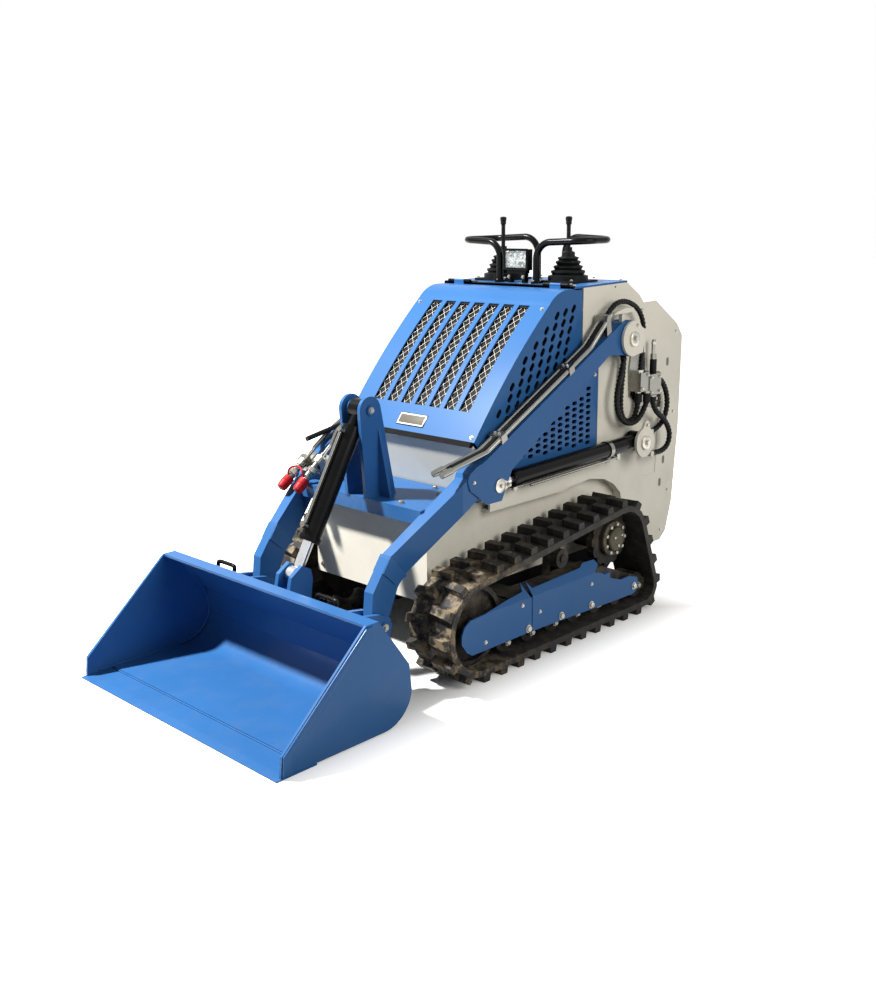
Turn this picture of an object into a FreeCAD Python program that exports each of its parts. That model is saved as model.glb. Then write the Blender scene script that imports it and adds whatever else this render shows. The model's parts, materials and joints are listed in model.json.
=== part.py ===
import FreeCAD, Part
import math
import os

# Compact stand-on track loader: an assembly of separate sub-parts.
# Frame: +Z up, +X the operator's left, -Y the bucket's end, millimetres.
# Stations along Y are first laid out from the hood's top edge and moved at export,
# so that the origin ends at the middle of the footprint, on the ground.

# ---- driving dimensions -------------------------------------------------------------
BUCKET_HALF = 520.0             # half the bucket's width
BUCKET_TIP_Y = -1502.0          # front of the cutting edge
REAR_Y = 745.0                  # rear edge of the side panels
MID_Y = (BUCKET_TIP_Y + REAR_Y) / 2

BODY_HALF = 278.0               # lower body between the tracks
PANEL_OUT = 316.0               # outer face of the hood and side panels
PANEL_T = 8.0
DECK_Z = 1226.0                 # at the hood's hinge
DECK_T = 7.0
DECK_RISE = 0.025
DECK_REAR = 358.0

TRACK_IN, TRACK_OUT = 308.0, 490.0
COVER_OUT = 470.0
LUG_H = 24.0
BELT_T = 22.0
# wheels that the track runs round: (y, z, radius to the lugs' tips)
IDLER = (-626.0, 186.0, 186.0)
REAR_IDLER = (291.0, 98.0, 98.0)
SPROCKET = (150.0, 310.0, 156.0)
FLATS = 64                      # flat stretches of the belt, one lug on each
WHEEL_GAP = 4.0                 # between the belt's inside and the wheels

ARM_IN, ARM_OUT = 325.0, 385.0
LEG_IN, LEG_OUT = 265.0, 305.0
ARM_PIVOT = (290.0, 1031.0)     # y, z of the pins and pivots
BUCKET_PIN = (-914.0, 231.0)
ROD_PIN = (-434.0, 608.0)
CYL_PIN = (387.0, 631.0)
TILT_TOP = (-700.0, 857.0)
TILT_EYE = (-997.0, 349.0)
CYL_X = (ARM_IN + ARM_OUT) / 2

HOOD_HINGE = (38.0, 1232.0)
PIN_R = 17.5
RUN = 0.08                      # radial running clearance of a pin
ARC_SHARE = 0.45                # of the shorter run, taken by a hose's arc

V = FreeCAD.Vector
X_AXIS = V(1, 0, 0)


# ---- small helpers ------------------------------------------------------------------
def export(node, shape):
    """Write one node, moved so that the origin is at the middle of the footprint."""
    out = shape.copy()
    out.translate(V(0, -MID_Y, 0))
    out.exportStep("parts/" + node + ".step")


def stadium(centre, length, width, lean, x0, x1):
    """A long hole's cutter: rounded ends, long axis leaning from the Y axis by degrees."""
    y, z = centre
    a = math.radians(lean)
    half = (length - width) / 2
    dy, dz = half * math.cos(a), half * math.sin(a)
    ny, nz = -math.sin(a) * width / 2, math.cos(a) * width / 2
    ey, ez = math.cos(a) * width / 2, math.sin(a) * width / 2
    p = [V(x0, y + dy + ny, z + dz + nz), V(x0, y - dy + ny, z - dz + nz),
         V(x0, y - dy - ny, z - dz - nz), V(x0, y + dy - ny, z + dz - nz)]
    left = Part.Arc(p[1], V(x0, y - dy - ey, z - dz - ez), p[2]).toShape()
    right = Part.Arc(p[3], V(x0, y + dy + ey, z + dz + ez), p[0]).toShape()
    wire = Part.Wire([Part.LineSegment(p[0], p[1]).toShape(), left,
                      Part.LineSegment(p[2], p[3]).toShape(), right])
    return Part.Face(wire).extrude(V(x1 - x0, 0, 0))


def inside(point, ring):
    """Whether a (y, z) point lies in a closed ring of (y, z) points."""
    hit = False
    for (y0, z0), (y1, z1) in zip(ring, ring[1:] + ring[:1]):
        if (z0 > point[1]) != (z1 > point[1]):
            if point[0] < y0 + (point[1] - z0) * (y1 - y0) / (z1 - z0):
                hit = not hit
    return hit


def box(x0, x1, y0, y1, z0, z1):
    return Part.makeBox(x1 - x0, y1 - y0, z1 - z0, V(x0, y0, z0))


def rod_x(x0, x1, yz, radius):
    """A round bar along X."""
    return Part.makeCylinder(radius, x1 - x0, V(x0, yz[0], yz[1]), X_AXIS)


def prism(points, x0, x1):
    """A side profile, given as (y, z) points, between two planes of X."""
    ring = [V(x0, y, z) for y, z in points]
    ring.append(ring[0])
    return Part.Face(Part.makePolygon(ring)).extrude(V(x1 - x0, 0, 0))


def fuse(shapes):
    out = shapes[0].fuse(shapes[1:]) if len(shapes) > 1 else shapes[0]
    return out.removeSplitter()


def mirror(shape):
    return shape.mirror(V(0, 0, 0), X_AXIS)


def tube(points, radius, bend=None):
    """A round tube through points, straight runs joined by tangent arcs.

    Without a bend radius each arc is as large as its two runs allow.
    """
    edges = []
    start = points[0]
    for before, corner, after in zip(points, points[1:], points[2:]):
        reach = ARC_SHARE * min((before - corner).Length, (after - corner).Length)
        a = (before - corner).normalize()
        b = (after - corner).normalize()
        half = a.getAngle(b) / 2
        turn = bend or reach * math.tan(half)
        cut = turn / math.tan(half)
        p, q = corner + a * cut, corner + b * cut
        mid_dir = (a + b).normalize()
        mid = corner + mid_dir * (turn / math.sin(half) - turn)
        edges.append(Part.LineSegment(start, p).toShape())
        edges.append(Part.Arc(p, mid, q).toShape())
        start = q
    edges.append(Part.LineSegment(start, points[-1]).toShape())
    path = Part.Wire(edges)
    ring = Part.Wire([Part.Circle(points[0], points[1] - points[0], radius).toShape()])
    return path.makePipeShell([ring], True, True)


def between(a, b, radius, from_a=0.0, to_b=None):
    """A round bar along the line between two (x, y, z) points."""
    along = b - a
    far = along.Length if to_b is None else to_b
    unit = V(along).normalize()
    return Part.makeCylinder(radius, far - from_a, a + unit * from_a, unit)


def at(x, yz):
    return V(x, yz[0], yz[1])


# ---- track and undercarriage --------------------------------------------------------
def tangent(first, second):
    """Points where the outer belt line leaves the first wheel and meets the second."""
    (y1, z1, r1), (y2, z2, r2) = first, second
    dy, dz = y2 - y1, z2 - z1
    span = math.hypot(dy, dz)
    turn = math.atan2(dz, dy) - math.acos((r1 - r2) / span)
    ny, nz = math.cos(turn), math.sin(turn)
    return (y1 + r1 * ny, z1 + r1 * nz), (y2 + r2 * ny, z2 + r2 * nz)


def loop_face(shrink, x):
    """The closed line round the three wheels, made smaller by shrink, as a face."""
    wheels = [(y, z, r - shrink) for y, z, r in (IDLER, REAR_IDLER, SPROCKET)]
    spans = [tangent(wheels[i], wheels[(i + 1) % 3]) for i in range(3)]
    edges = []
    for i in range(3):
        y, z, r = wheels[i]
        arrive, leave = spans[i - 1][1], spans[i][0]
        a0 = math.atan2(arrive[1] - z, arrive[0] - y)
        a1 = math.atan2(leave[1] - z, leave[0] - y)
        while a1 < a0:
            a1 += 2 * math.pi
        mid = (a0 + a1) / 2
        top = V(x, y + r * math.cos(mid), z + r * math.sin(mid))
        edges.append(Part.Arc(at(x, arrive), top, at(x, leave)).toShape())
        edges.append(Part.LineSegment(at(x, leave), at(x, spans[i][1])).toShape())
    return Part.Face(Part.Wire(edges))


def loop_corners():
    """Evenly spaced corners on the belt's outer line."""
    wire = loop_face(LUG_H, 0).OuterWire
    return wire.discretize(Number=FLATS + 1)[:-1]


def belt_profile(corners, depth):
    """The belt's corners moved in along the belt's normals."""
    ring = []
    for before, here, after in zip(corners[-1:] + corners[:-1], corners, corners[1:] + corners[:1]):
        along = (after - before).normalize()
        ring.append(here - V(0, along.z, -along.y) * depth)
    return ring


def lug(first, last, x0, x1, lead):
    """A rubber lug on one flat of the belt, leaning along it by lead, tapered to its tip."""
    along = (last - first).normalize()
    outward = V(0, along.z, -along.y)
    middle = (first + last) / 2
    corners = []
    for out, half in ((-4.0, 18.0), (LUG_H, 14.0)):
        ring = []
        for x, slide, sign in ((x0, 0, -1), (x0, 0, 1), (x1, lead, 1), (x1, lead, -1)):
            ring.append(middle + V(x, 0, 0) + outward * out + along * (slide + sign * half))
        corners.append(Part.makePolygon(ring + [ring[0]]))
    return Part.makeLoft(corners, True, True)


def track():
    """Belt of flats with two staggered rows of lugs."""
    corners = loop_corners()
    outer = Part.Face(Part.makePolygon(corners + [corners[0]]))
    inside = belt_profile(corners, BELT_T)
    belt = outer.cut(Part.Face(Part.makePolygon(inside + [inside[0]])))
    belt = belt.extrude(V(TRACK_OUT - TRACK_IN, 0, 0))
    belt.translate(V(TRACK_IN, 0, 0))
    middle = (TRACK_IN + TRACK_OUT) / 2
    lugs = []
    for index, (first, last) in enumerate(zip(corners, corners[1:] + corners[:1])):
        if index % 2:
            lugs.append(lug(first, last, middle + 8, TRACK_OUT - 2, 8))
        else:
            lugs.append(lug(first, last, TRACK_IN + 2, middle - 8, -8))
    return belt.fuse(lugs)


def wheel_ring(wheel):
    """Radius of a wheel inside the belt."""
    return wheel[2] - LUG_H - BELT_T - WHEEL_GAP


def idlers():
    mid = (TRACK_IN + TRACK_OUT) / 2
    out = []
    for wheel in (IDLER, REAR_IDLER):
        r = wheel_ring(wheel)
        disc = rod_x(mid - 40, mid + 40, wheel, r)
        disc = disc.cut(rod_x(mid + 22, mid + 41, wheel, r - 16))
        disc = disc.cut(rod_x(mid - 41, mid - 22, wheel, r - 16))
        hub = rod_x(mid - 44, mid + 44, wheel, 26)
        out.append(disc.fuse(hub))
    return Part.makeCompound(out)


ROLLER_Y = [-470.0 + 127.0 * i for i in range(6)]
ROLLER_R = 40.0
ROLLER_Z = LUG_H + BELT_T + WHEEL_GAP + ROLLER_R
TOP_ROLLER = (-150.0, 300.0)


def rollers():
    """Double rollers on axles between the frame's hangers, and one that holds the upper run."""
    mid = (TRACK_IN + TRACK_OUT) / 2
    out = []
    for y in ROLLER_Y:
        parts = [rod_x(mid - 38, mid - 12, (y, ROLLER_Z), ROLLER_R),
                 rod_x(mid + 12, mid + 38, (y, ROLLER_Z), ROLLER_R),
                 rod_x(mid - 42, mid + 42, (y, ROLLER_Z), 15)]
        out.append(parts[0].fuse(parts[1:]))
    top = rod_x(mid - 30, mid + 30, TOP_ROLLER, 34).fuse(rod_x(mid - 40, mid + 36, TOP_ROLLER, 14))
    return Part.makeCompound(out + [top])


def sprocket():
    """Toothed wheel on a flanged hub, with the drive motor's barrel behind it."""
    y, z, _ = SPROCKET
    mid = (TRACK_IN + TRACK_OUT) / 2
    r = wheel_ring(SPROCKET)
    disc = rod_x(mid - 14, mid + 14, SPROCKET, r)
    gaps = []
    for i in range(13):
        a = 2 * math.pi * i / 13
        gaps.append(rod_x(mid - 15, mid + 15, (y + (r + 4) * math.cos(a), z + (r + 4) * math.sin(a)),
                          13))
    disc = disc.cut(gaps)
    hub = [rod_x(BODY_HALF, mid - 14, SPROCKET, 52), rod_x(mid + 14, mid + 30, SPROCKET, 66),
           rod_x(mid + 30, mid + 46, SPROCKET, 46)]
    return disc.fuse(hub)


def track_frame():
    """Roller beam between the runs: idler fork, roller hangers and arms to the body."""
    mid = (TRACK_IN + TRACK_OUT) / 2
    beam = prism([(-440, 146), (-440, 228), (60, 228), (225, 160), (225, 146)], mid - 48, mid + 48)
    cross = box(mid - 52, mid + 52, -480, -440, 150, 222)
    fork = [prism([(-650, 160), (-650, 212), (-480, 222), (-480, 150)], x0, x1)
            for x0, x1 in ((mid - 52, mid - 44), (mid + 44, mid + 52))]
    rear = [prism([(225, 146), (225, 160), (330, 120), (330, 78), (268, 78)], x0, x1)
            for x0, x1 in ((mid - 52, mid - 44), (mid + 44, mid + 52))]
    hangers = []
    for y in ROLLER_Y:
        for x0, x1 in ((mid - 48, mid - 42), (mid + 42, mid + 48)):
            hangers.append(prism([(y - 26, 146), (y - 14, 76), (y + 14, 76), (y + 26, 146)],
                                 x0, x1))
    arms = [box(BODY_HALF, mid - 48, y, y + 70, 152, 222) for y in (-400, -20)]
    y, z = TOP_ROLLER
    post = prism([(y - 20, 228), (y - 12, z + 14), (y + 12, z + 14), (y + 20, 228)],
                 mid - 48, mid - 40)
    return fuse([beam, cross, post] + fork + rear + hangers + arms)


def fold(places, z):
    """A flange folded inwards at 45 degrees from a cover's top edge."""
    ring = [V(COVER_OUT - t, y, z + t) for y, t in places]
    return Part.Face(Part.makePolygon(ring + [ring[0]])).extrude(V(-3.5, 0, -3.5))


def track_cover():
    """Two folded guard plates on the roller beam, meeting at a seam."""
    x0 = COVER_OUT - 6
    front = [(-713, 150), (-713, 178), (-700, 204), (-672, 221), (-616, 224), (-372, 224),
             (-366, 218), (-366, 100), (-664, 101), (-690, 118)]
    rear = [(-362, 100), (-362, 224), (-12, 224), (32, 211), (90, 178), (150, 158),
            (205, 158), (232, 150), (255, 143), (262, 128), (262, 108), (250, 88), (232, 82),
            (150, 84)]
    front_lean = [(-616, 0), (-372, 0), (-378, 44), (-394, 20), (-480, 14), (-590, 3)]
    rear_lean = [(-360, 0), (-12, 0), (30, 18), (26, 34), (-42, 36), (-66, 26), (-340, 20),
                 (-352, 42)]
    beam_side = (TRACK_IN + TRACK_OUT) / 2 + 48
    seat = [box(beam_side, x0, y, y + 30, 150, 200) for y in (-420, -300, 60)]
    front = fuse([prism(front, x0, COVER_OUT), fold(front_lean, 224), seat[0]])
    rear = fuse([prism(rear, x0, COVER_OUT), fold(rear_lean, 224)] + seat[1:])
    return Part.makeCompound([front, rear])


# ---- chassis ------------------------------------------------------------------------
BODY_LOW, BODY_STEP = 232.0, 532.0      # belly and the shelf above the tracks
FRONT_Y, BODY_REAR = -673.0, 380.0
HOOD_TOP = 1219.0
HOOD_T = 4.0
HOOD_REAR = 86.0
SLOT_COUNT, SLOT_PITCH, SLOT_W = 7, 70.0, 48.0
SLOT_TOP, SLOT_FOOT = (-106.0, 1168.0), (-419.0, 833.0)
# the line where the hood's side meets the grille below it
SPLIT_A, SPLIT_B = (-398.0, 657.0), (192.0, 947.0)


GRILLE_START = (134.0, 880.0)   # first hole and steps of the lower vent's holes
GRILLE_PITCH = (41.0, 22.2)
VENT_START = (36.7, 1151.4)     # first hole and both steps of the hood side's holes
VENT_ACROSS = (-46.3, -9.4)
VENT_DOWN = (-10.5, -36.5)


def deck_z(y):
    """Height of the deck's top, which rises a little to the rear."""
    return DECK_Z + (y - HOOD_HINGE[0]) * DECK_RISE


def split_z(y, offset=0.0):
    slope = (SPLIT_B[1] - SPLIT_A[1]) / (SPLIT_B[0] - SPLIT_A[0])
    return SPLIT_A[1] + slope * (y - SPLIT_A[0]) + offset


def lower_body():
    low = prism([(FRONT_Y, BODY_LOW), (FRONT_Y, BODY_STEP), (BODY_REAR, BODY_STEP),
                 (BODY_REAR, BODY_LOW)], -BODY_HALF, BODY_HALF)
    side = PANEL_OUT - 2 * PANEL_T
    high = prism([(-425, BODY_STEP), (-490, 738), (-478, 738), (-413, BODY_STEP)], -side, side)
    return fuse([low, high])


def side_panel():
    """White wing beside the hood and over the track, with the lip of its track arch."""
    wing = [(-406, 500), (-406, 600), (192, 600), (192, split_z(192, -8)), (HOOD_REAR + 6, 960),
            (HOOD_REAR + 6, deck_z(HOOD_REAR + 6) - DECK_T), (DECK_REAR, deck_z(DECK_REAR) - DECK_T),
            (442, 1176), (471, 1146), (551, 1150), (705, 1051), (REAR_Y, 1001), (742, 646),
            (714, 329), (678, 208), (640, 178), (440, 178), (414, 200)]
    arch = [(350, 430), (306, 470), (249, 499), (155, 517), (28, 508), (11, 500)]
    main = prism(wing + arch, PANEL_OUT - PANEL_T, PANEL_OUT)
    for z, y in ((905, 647), (511, 642), (421, 622)):
        main = main.cut(stadium((y, z), 34, 18, 90, PANEL_OUT - PANEL_T - 1, PANEL_OUT + 1))
    pocket = prism([(482, 681), (497, 466), (586, 470), (597, 687)], PANEL_OUT - 3, PANEL_OUT + 1)
    main = main.cut([pocket, rod_x(PANEL_OUT - PANEL_T - 1, PANEL_OUT + 1, (283, 1214), 4)])
    strip = prism([(-380, BODY_STEP), (-425, BODY_STEP), (-490, 738), (-482, 741), (-400, 652),
                   (-380, 652)], PANEL_OUT - 2 * PANEL_T, PANEL_OUT - PANEL_T)
    low = [(-406, 500), (11, 500), (28, 508), (155, 517), (249, 499), (306, 470), (350, 430),
           (414, 200)]
    high = [(420, 203), (356, 434), (309, 476), (251, 505), (155, 523), (27, 514), (10, 506),
            (-406, 506)]
    lip = prism(low + high, BODY_HALF, PANEL_OUT - PANEL_T)
    return fuse([main, strip, lip])


def lower_grille():
    """Lower vent plate under the arm, with long six-sided holes in staggered columns."""
    plate = prism([(-402, 602), (190, 602), (190, split_z(190, -8)), (-402, split_z(-402, -8))],
                  PANEL_OUT - PANEL_T, PANEL_OUT)
    field = [(-262, 648), (158, 648), (158, split_z(158, -52)), (-262, split_z(-262, -52))]
    holes = []
    for column in range(11):
        y = GRILLE_START[0] - GRILLE_PITCH[0] * column
        for row in range(14):
            z = GRILLE_START[1] - GRILLE_PITCH[1] * (row + 0.5 * (column % 2))
            if inside((y, z), field):
                hole = [(y - 15, z), (y - 9, z + 7), (y + 9, z + 7), (y + 15, z), (y + 9, z - 7),
                        (y - 9, z - 7)]
                holes.append(prism(hole, PANEL_OUT - PANEL_T - 1, PANEL_OUT + 1))
    return plate.cut(Part.makeCompound(holes))


def deck():
    y0, y1 = HOOD_HINGE[0] + 2, DECK_REAR
    return prism([(y0, deck_z(y0) - DECK_T), (y1, deck_z(y1) - DECK_T), (y1, deck_z(y1)),
                  (y0, deck_z(y0))], -PANEL_OUT, PANEL_OUT)


def on_deck(shape):
    """What stands on the deck, cut off at its sloping top."""
    y0, y1 = 0, DECK_REAR + 60
    below = prism([(y0, deck_z(y0) - 60), (y1, deck_z(y1) - 60), (y1, deck_z(y1)),
                   (y0, deck_z(y0))], -PANEL_OUT, PANEL_OUT)
    return shape.cut(below)


def rear_panel():
    side = PANEL_OUT - PANEL_T
    return box(-side, side, 346, 354, BODY_STEP, deck_z(346) - DECK_T)


def thigh_pad():
    return box(-230, 230, 354, 394, 940, 1120)


def operator_platform():
    tray = box(-270, 270, BODY_REAR, 730, BODY_LOW, 276)
    return tray.cut(box(-264, 264, BODY_REAR + 6, 724, BODY_LOW - 1, 270))


def engine():
    return box(-190, 190, -296, 120, BODY_STEP, 930)


def arm_mount():
    """Outboard plates and pins that hold the arm and its lift cylinder."""
    out0, out1 = ARM_OUT + 4, ARM_OUT + 14
    upper = fuse([rod_x(out0, out1, ARM_PIVOT, 64),
                  prism([(262, 1086), (290, 1096), (369, 1056), (350, 975), (290, 968)], out0, out1),
                  box(PANEL_OUT, out1, 358, 366, 975, 1056)])
    lower = fuse([rod_x(out0, out1, CYL_PIN, 57), rod_x(out0, out1, (396, 696), 17),
                  prism([(368, 680), (380, 700), (412, 690), (450, 640), (450, 612), (417, 583),
                         (387, 576)], out0, out1),
                  box(PANEL_OUT, out1, 440, 448, 600, 650)])
    out = []
    for plate, yz in ((upper, ARM_PIVOT), (lower, CYL_PIN)):
        pin = rod_x(PANEL_OUT, out1 + 6, yz, PIN_R)
        out.append(fuse([plate, pin, rod_x(out1, out1 + 6, yz, 28)]))
    return Part.makeCompound(out)


JOY_X, JOY_Y = 158.0, 205.0


def joysticks():
    """Levers in ribbed rubber boots on square bases."""
    ribs = [(74, 1236), (74, 1254), (58, 1258), (63, 1266), (63, 1272), (49, 1276), (54, 1284),
            (54, 1289), (41, 1293), (46, 1301), (46, 1306), (34, 1310), (39, 1316), (39, 1320),
            (25, 1324), (24, 1338), (14, 1343), (14, 1356)]
    out = []
    for x in (-JOY_X, JOY_X):
        base = box(x - 78, x + 78, JOY_Y - 78, JOY_Y + 78, DECK_Z - 5, DECK_Z + 12)
        ring = [V(0, 0, 1236)] + [V(r, 0, z) for r, z in ribs] + [V(0, 0, 1356)]
        boot = Part.Face(Part.makePolygon(ring + [ring[0]])).revolve(V(0, 0, 0), V(0, 0, 1), 360)
        boot.translate(V(x, JOY_Y, 0))
        stick = Part.makeCylinder(7.5, 84, V(x, JOY_Y, 1356))
        head = Part.makeCone(9.5, 11, 14, V(x, JOY_Y, 1440))
        out.append(on_deck(fuse([base, boot, stick, head])))
    return Part.makeCompound(out)


LOOP_Z = 1382.0


def hand_loops():
    """A bent grab tube round each joystick, standing on two feet."""
    out = []
    for side in (-1, 1):
        front, back, far = side * 88.0, side * 66.0, side * 296.0
        y0, y1 = 106.0, 304.0
        low = DECK_Z - 5
        route = [V(front, y0, low), V(front, y0, LOOP_Z - 8), V(far, y0 + 14, LOOP_Z),
                 V(far, y1 - 14, LOOP_Z), V(back, y1, LOOP_Z + 10), V(back, y1, low)]
        bent = tube(route, 12.5, 62)
        feet = [Part.makeCylinder(20, 14, V(x, y, low)) for x, y in ((front, y0), (back, y1))]
        out.append(on_deck(fuse([bent] + feet)))
    return Part.makeCompound(out)


def work_lamp():
    """Square lamp in a hooked bracket, its lens set back in the rim."""
    house = box(-56, 56, 93, 122, DECK_Z + 48, DECK_Z + 124)
    house = house.cut(box(-50, 50, 92, 97, DECK_Z + 54, DECK_Z + 118))
    fins = [box(x - 2, x + 2, 122, 132, DECK_Z + 54, DECK_Z + 118) for x in range(-44, 45, 11)]
    lens = box(-50, 50, 95, 97, DECK_Z + 54, DECK_Z + 118)
    foot = box(-46, 46, 96, 118, DECK_Z + 36, DECK_Z + 48)
    legs = [box(x - 8, x + 8, 98, 116, DECK_Z - 5, DECK_Z + 36) for x in (-34, 34)]
    return on_deck(fuse([house, lens, foot] + fins + legs))


def hood_hinges():
    """Two pins on the front edge of the deck, in knuckles on a leaf."""
    out = []
    y, z = HOOD_HINGE
    for x in (-289, 177):
        leaf = box(x, x + 112, y + 8, y + 40, DECK_Z - 5, DECK_Z + 4)
        web = [box(a, a + 30, y, y + 12, DECK_Z - 5, z) for a in (x, x + 82)]
        knuckles = [rod_x(a, a + 30, HOOD_HINGE, 6) for a in (x, x + 82)]
        out.append(on_deck(fuse([leaf] + web + knuckles + [rod_x(x, x + 112, HOOD_HINGE, 3)])))
    return Part.makeCompound(out)


def hood_line(inset):
    """Front line of the hood in side view, outer or moved in by the sheet."""
    d = inset
    start = V(0, -485 + d * 0.75, 750 - d * 0.0)
    return [start, V(0, -300 + d * 0.72, 975 - d * 0.72), V(0, -100 + d * 0.66, 1172 - d * 0.78),
            V(0, -55 + d * 0.3, 1206 - d * 0.96), V(0, -6, HOOD_TOP - d)]


def line_edges(points):
    a, b, c, d, e = points
    return [Part.Arc(a, b, c).toShape(), Part.Arc(c, d, e).toShape()]


def slot_cutters():
    """Seven long slots down the hood's slope."""
    (y0, z0), (y1, z1) = SLOT_TOP, SLOT_FOOT
    run = math.hypot(y1 - y0, z1 - z0)
    ny, nz = (z0 - z1) / run, (y1 - y0) / run
    if nz < 0:
        ny, nz = -ny, -nz
    ring = [(y0 + ny * 40, z0 + nz * 40), (y1 + ny * 40, z1 + nz * 40),
            (y1 - ny * 30, z1 - nz * 30), (y0 - ny * 30, z0 - nz * 30)]
    cutters = []
    for i in range(SLOT_COUNT):
        x = (i - (SLOT_COUNT - 1) / 2) * SLOT_PITCH
        cutters.append(prism(ring, x - SLOT_W / 2, x + SLOT_W / 2))
    return cutters


def hood():
    """Bent front sheet with slots, and the hinge's knuckles at its rear edge."""
    outer, inner = hood_line(0), hood_line(HOOD_T)
    rear = HOOD_HINGE[0] - 1
    edges = line_edges(outer) + line_edges(inner)
    ring = [outer[-1], V(0, rear, HOOD_TOP), V(0, rear, HOOD_TOP - HOOD_T), inner[-1]]
    edges += [Part.LineSegment(p, q).toShape() for p, q in zip(ring, ring[1:])]
    edges += [Part.LineSegment(outer[0], inner[0]).toShape()]
    wire = Part.Wire(Part.sortEdges(edges)[0])
    sheet = Part.Face(wire).extrude(V(2 * PANEL_OUT, 0, 0))
    sheet.translate(V(-PANEL_OUT, 0, 0))
    sheet = sheet.cut(slot_cutters())
    knuckles = []
    y, z = HOOD_HINGE
    for x in (-233, 233):
        tab = box(x - 24, x + 24, y - 5, rear, HOOD_TOP - HOOD_T, z)
        ring = rod_x(x - 24, x + 24, HOOD_HINGE, 6)
        knuckles.append(tab.fuse(ring).cut(rod_x(x - 25, x + 25, HOOD_HINGE, 3 + RUN)))
    return fuse([sheet] + knuckles)


def hood_band(near, far, x0, x1):
    """A strip that follows the hood's slope between two depths under the sheet."""
    a, b = hood_line(near)[:3], hood_line(far)[:3]
    edges = [Part.Arc(*a).toShape(), Part.LineSegment(a[2], b[2]).toShape(),
             Part.Arc(*b).toShape(), Part.LineSegment(b[0], a[0]).toShape()]
    strip = Part.Face(Part.Wire(Part.sortEdges(edges)[0])).extrude(V(x1 - x0, 0, 0))
    strip.translate(V(x0, 0, 0))
    return strip


def hood_screen():
    """Screen behind the slots, held off the sheet by a rail at each side."""
    half = SLOT_PITCH * SLOT_COUNT / 2 + 12
    plate = hood_band(HOOD_T + 6, HOOD_T + 7.5, -half, half)
    rails = [hood_band(HOOD_T, HOOD_T + 6, x, x + 8) for x in (-half, half - 8)]
    return fuse([plate] + rails)


def hood_side():
    """Side of the hood with long leaning holes in staggered columns."""
    inner = hood_line(HOOD_T)
    edges = line_edges(inner)
    rest = [inner[-1], V(0, HOOD_REAR, HOOD_TOP - HOOD_T),
            V(0, HOOD_REAR, split_z(HOOD_REAR)), V(0, SPLIT_A[0], SPLIT_A[1]), inner[0]]
    edges += [Part.LineSegment(p, q).toShape() for p, q in zip(rest, rest[1:])]
    face = Part.Face(Part.Wire(Part.sortEdges(edges)[0])).extrude(V(HOOD_T, 0, 0))
    face.translate(V(PANEL_OUT - HOOD_T, 0, 0))
    field = [(48, 1165), (18, 1165), (-60, 1135), (-190, 1040), (-300, 925), (-380, 815),
             (-378, 795), (-260, 800), (48, 952)]
    holes = []
    for across in range(10):
        for down in range(-2, 14):
            y = VENT_START[0] + VENT_ACROSS[0] * across + VENT_DOWN[0] * down
            z = VENT_START[1] + VENT_ACROSS[1] * across + VENT_DOWN[1] * down
            if inside((y, z), field):
                holes.append(stadium((y, z), 33, 18, 52, PANEL_OUT - HOOD_T - 1, PANEL_OUT + 1))
    return face.cut(Part.makeCompound(holes))


# ---- arms and their linkage ---------------------------------------------------------
def arm_top(y):
    """Height of the arm's upper edge along its straight part."""
    return 1056.0 + 0.5258 * (y - 169.0)


def arm():
    """Box arm: straight rear part with the rod's lug below, and the bent front leg."""
    upper = [(258, 1092), (232, 1090), (-500, arm_top(-500)), (-552, 686), (-580, 670),
             (-590, 648), (-577, 614), (-545, 592), (-498, 555), (-424, 555), (-373, 651),
             (158, 979), (250, 975)]
    shape = fuse([prism(upper, ARM_IN, ARM_OUT), rod_x(ARM_IN, ARM_OUT, ARM_PIVOT, 66)])
    slot = prism([(-520, 540), (-520, 650), (-440, 700), (-330, 700), (-270, 560)],
                 ARM_IN + 7, ARM_OUT - 7)
    shape = fuse([shape.cut(slot), arm_leg()])
    return shape.cut(rod_x(ARM_IN - 1, ARM_OUT + 1, ARM_PIVOT, PIN_R + RUN))


def arm_leg():
    """The front of the arm: it runs inwards to the narrower leg at the bucket."""
    sections = []
    for x0, x1, ring in ((ARM_IN + 7, ARM_OUT - 7, [(-522, 698), (-522, 586)]),
                         (ARM_IN + 3, ARM_OUT - 3, [(-610, 640), (-610, 541)]),
                         (LEG_IN, LEG_OUT, [(-867, 440), (-800, 372)])):
        (ya, za), (yb, zb) = ring
        pts = [V(x0, ya, za), V(x1, ya, za), V(x1, yb, zb), V(x0, yb, zb)]
        sections.append(Part.makePolygon(pts + [pts[0]]))
    bend = [Part.makeLoft(pair, True, True) for pair in (sections[:2], sections[1:])]
    leg = prism([(-867, 440), (-938, 341), (-948, 250), (-945, 212), (-914, 196), (-880, 212),
                 (-872, 250), (-830, 340), (-800, 372)], LEG_IN, LEG_OUT)
    band = prism([(-862, 446), (-896, 398), (-846, 352), (-794, 366), (-800, 376)],
                 LEG_IN - 4, LEG_OUT + 4)
    leg = leg.cut(rod_x(LEG_IN - 1, LEG_OUT + 1, BUCKET_PIN, PIN_R + RUN))
    return fuse(bend + [leg, band])


CROSS_TOP = 563.0
EAR_IN, EAR_OUT = 39.0, 52.0
CROSS_T = 12.0


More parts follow.
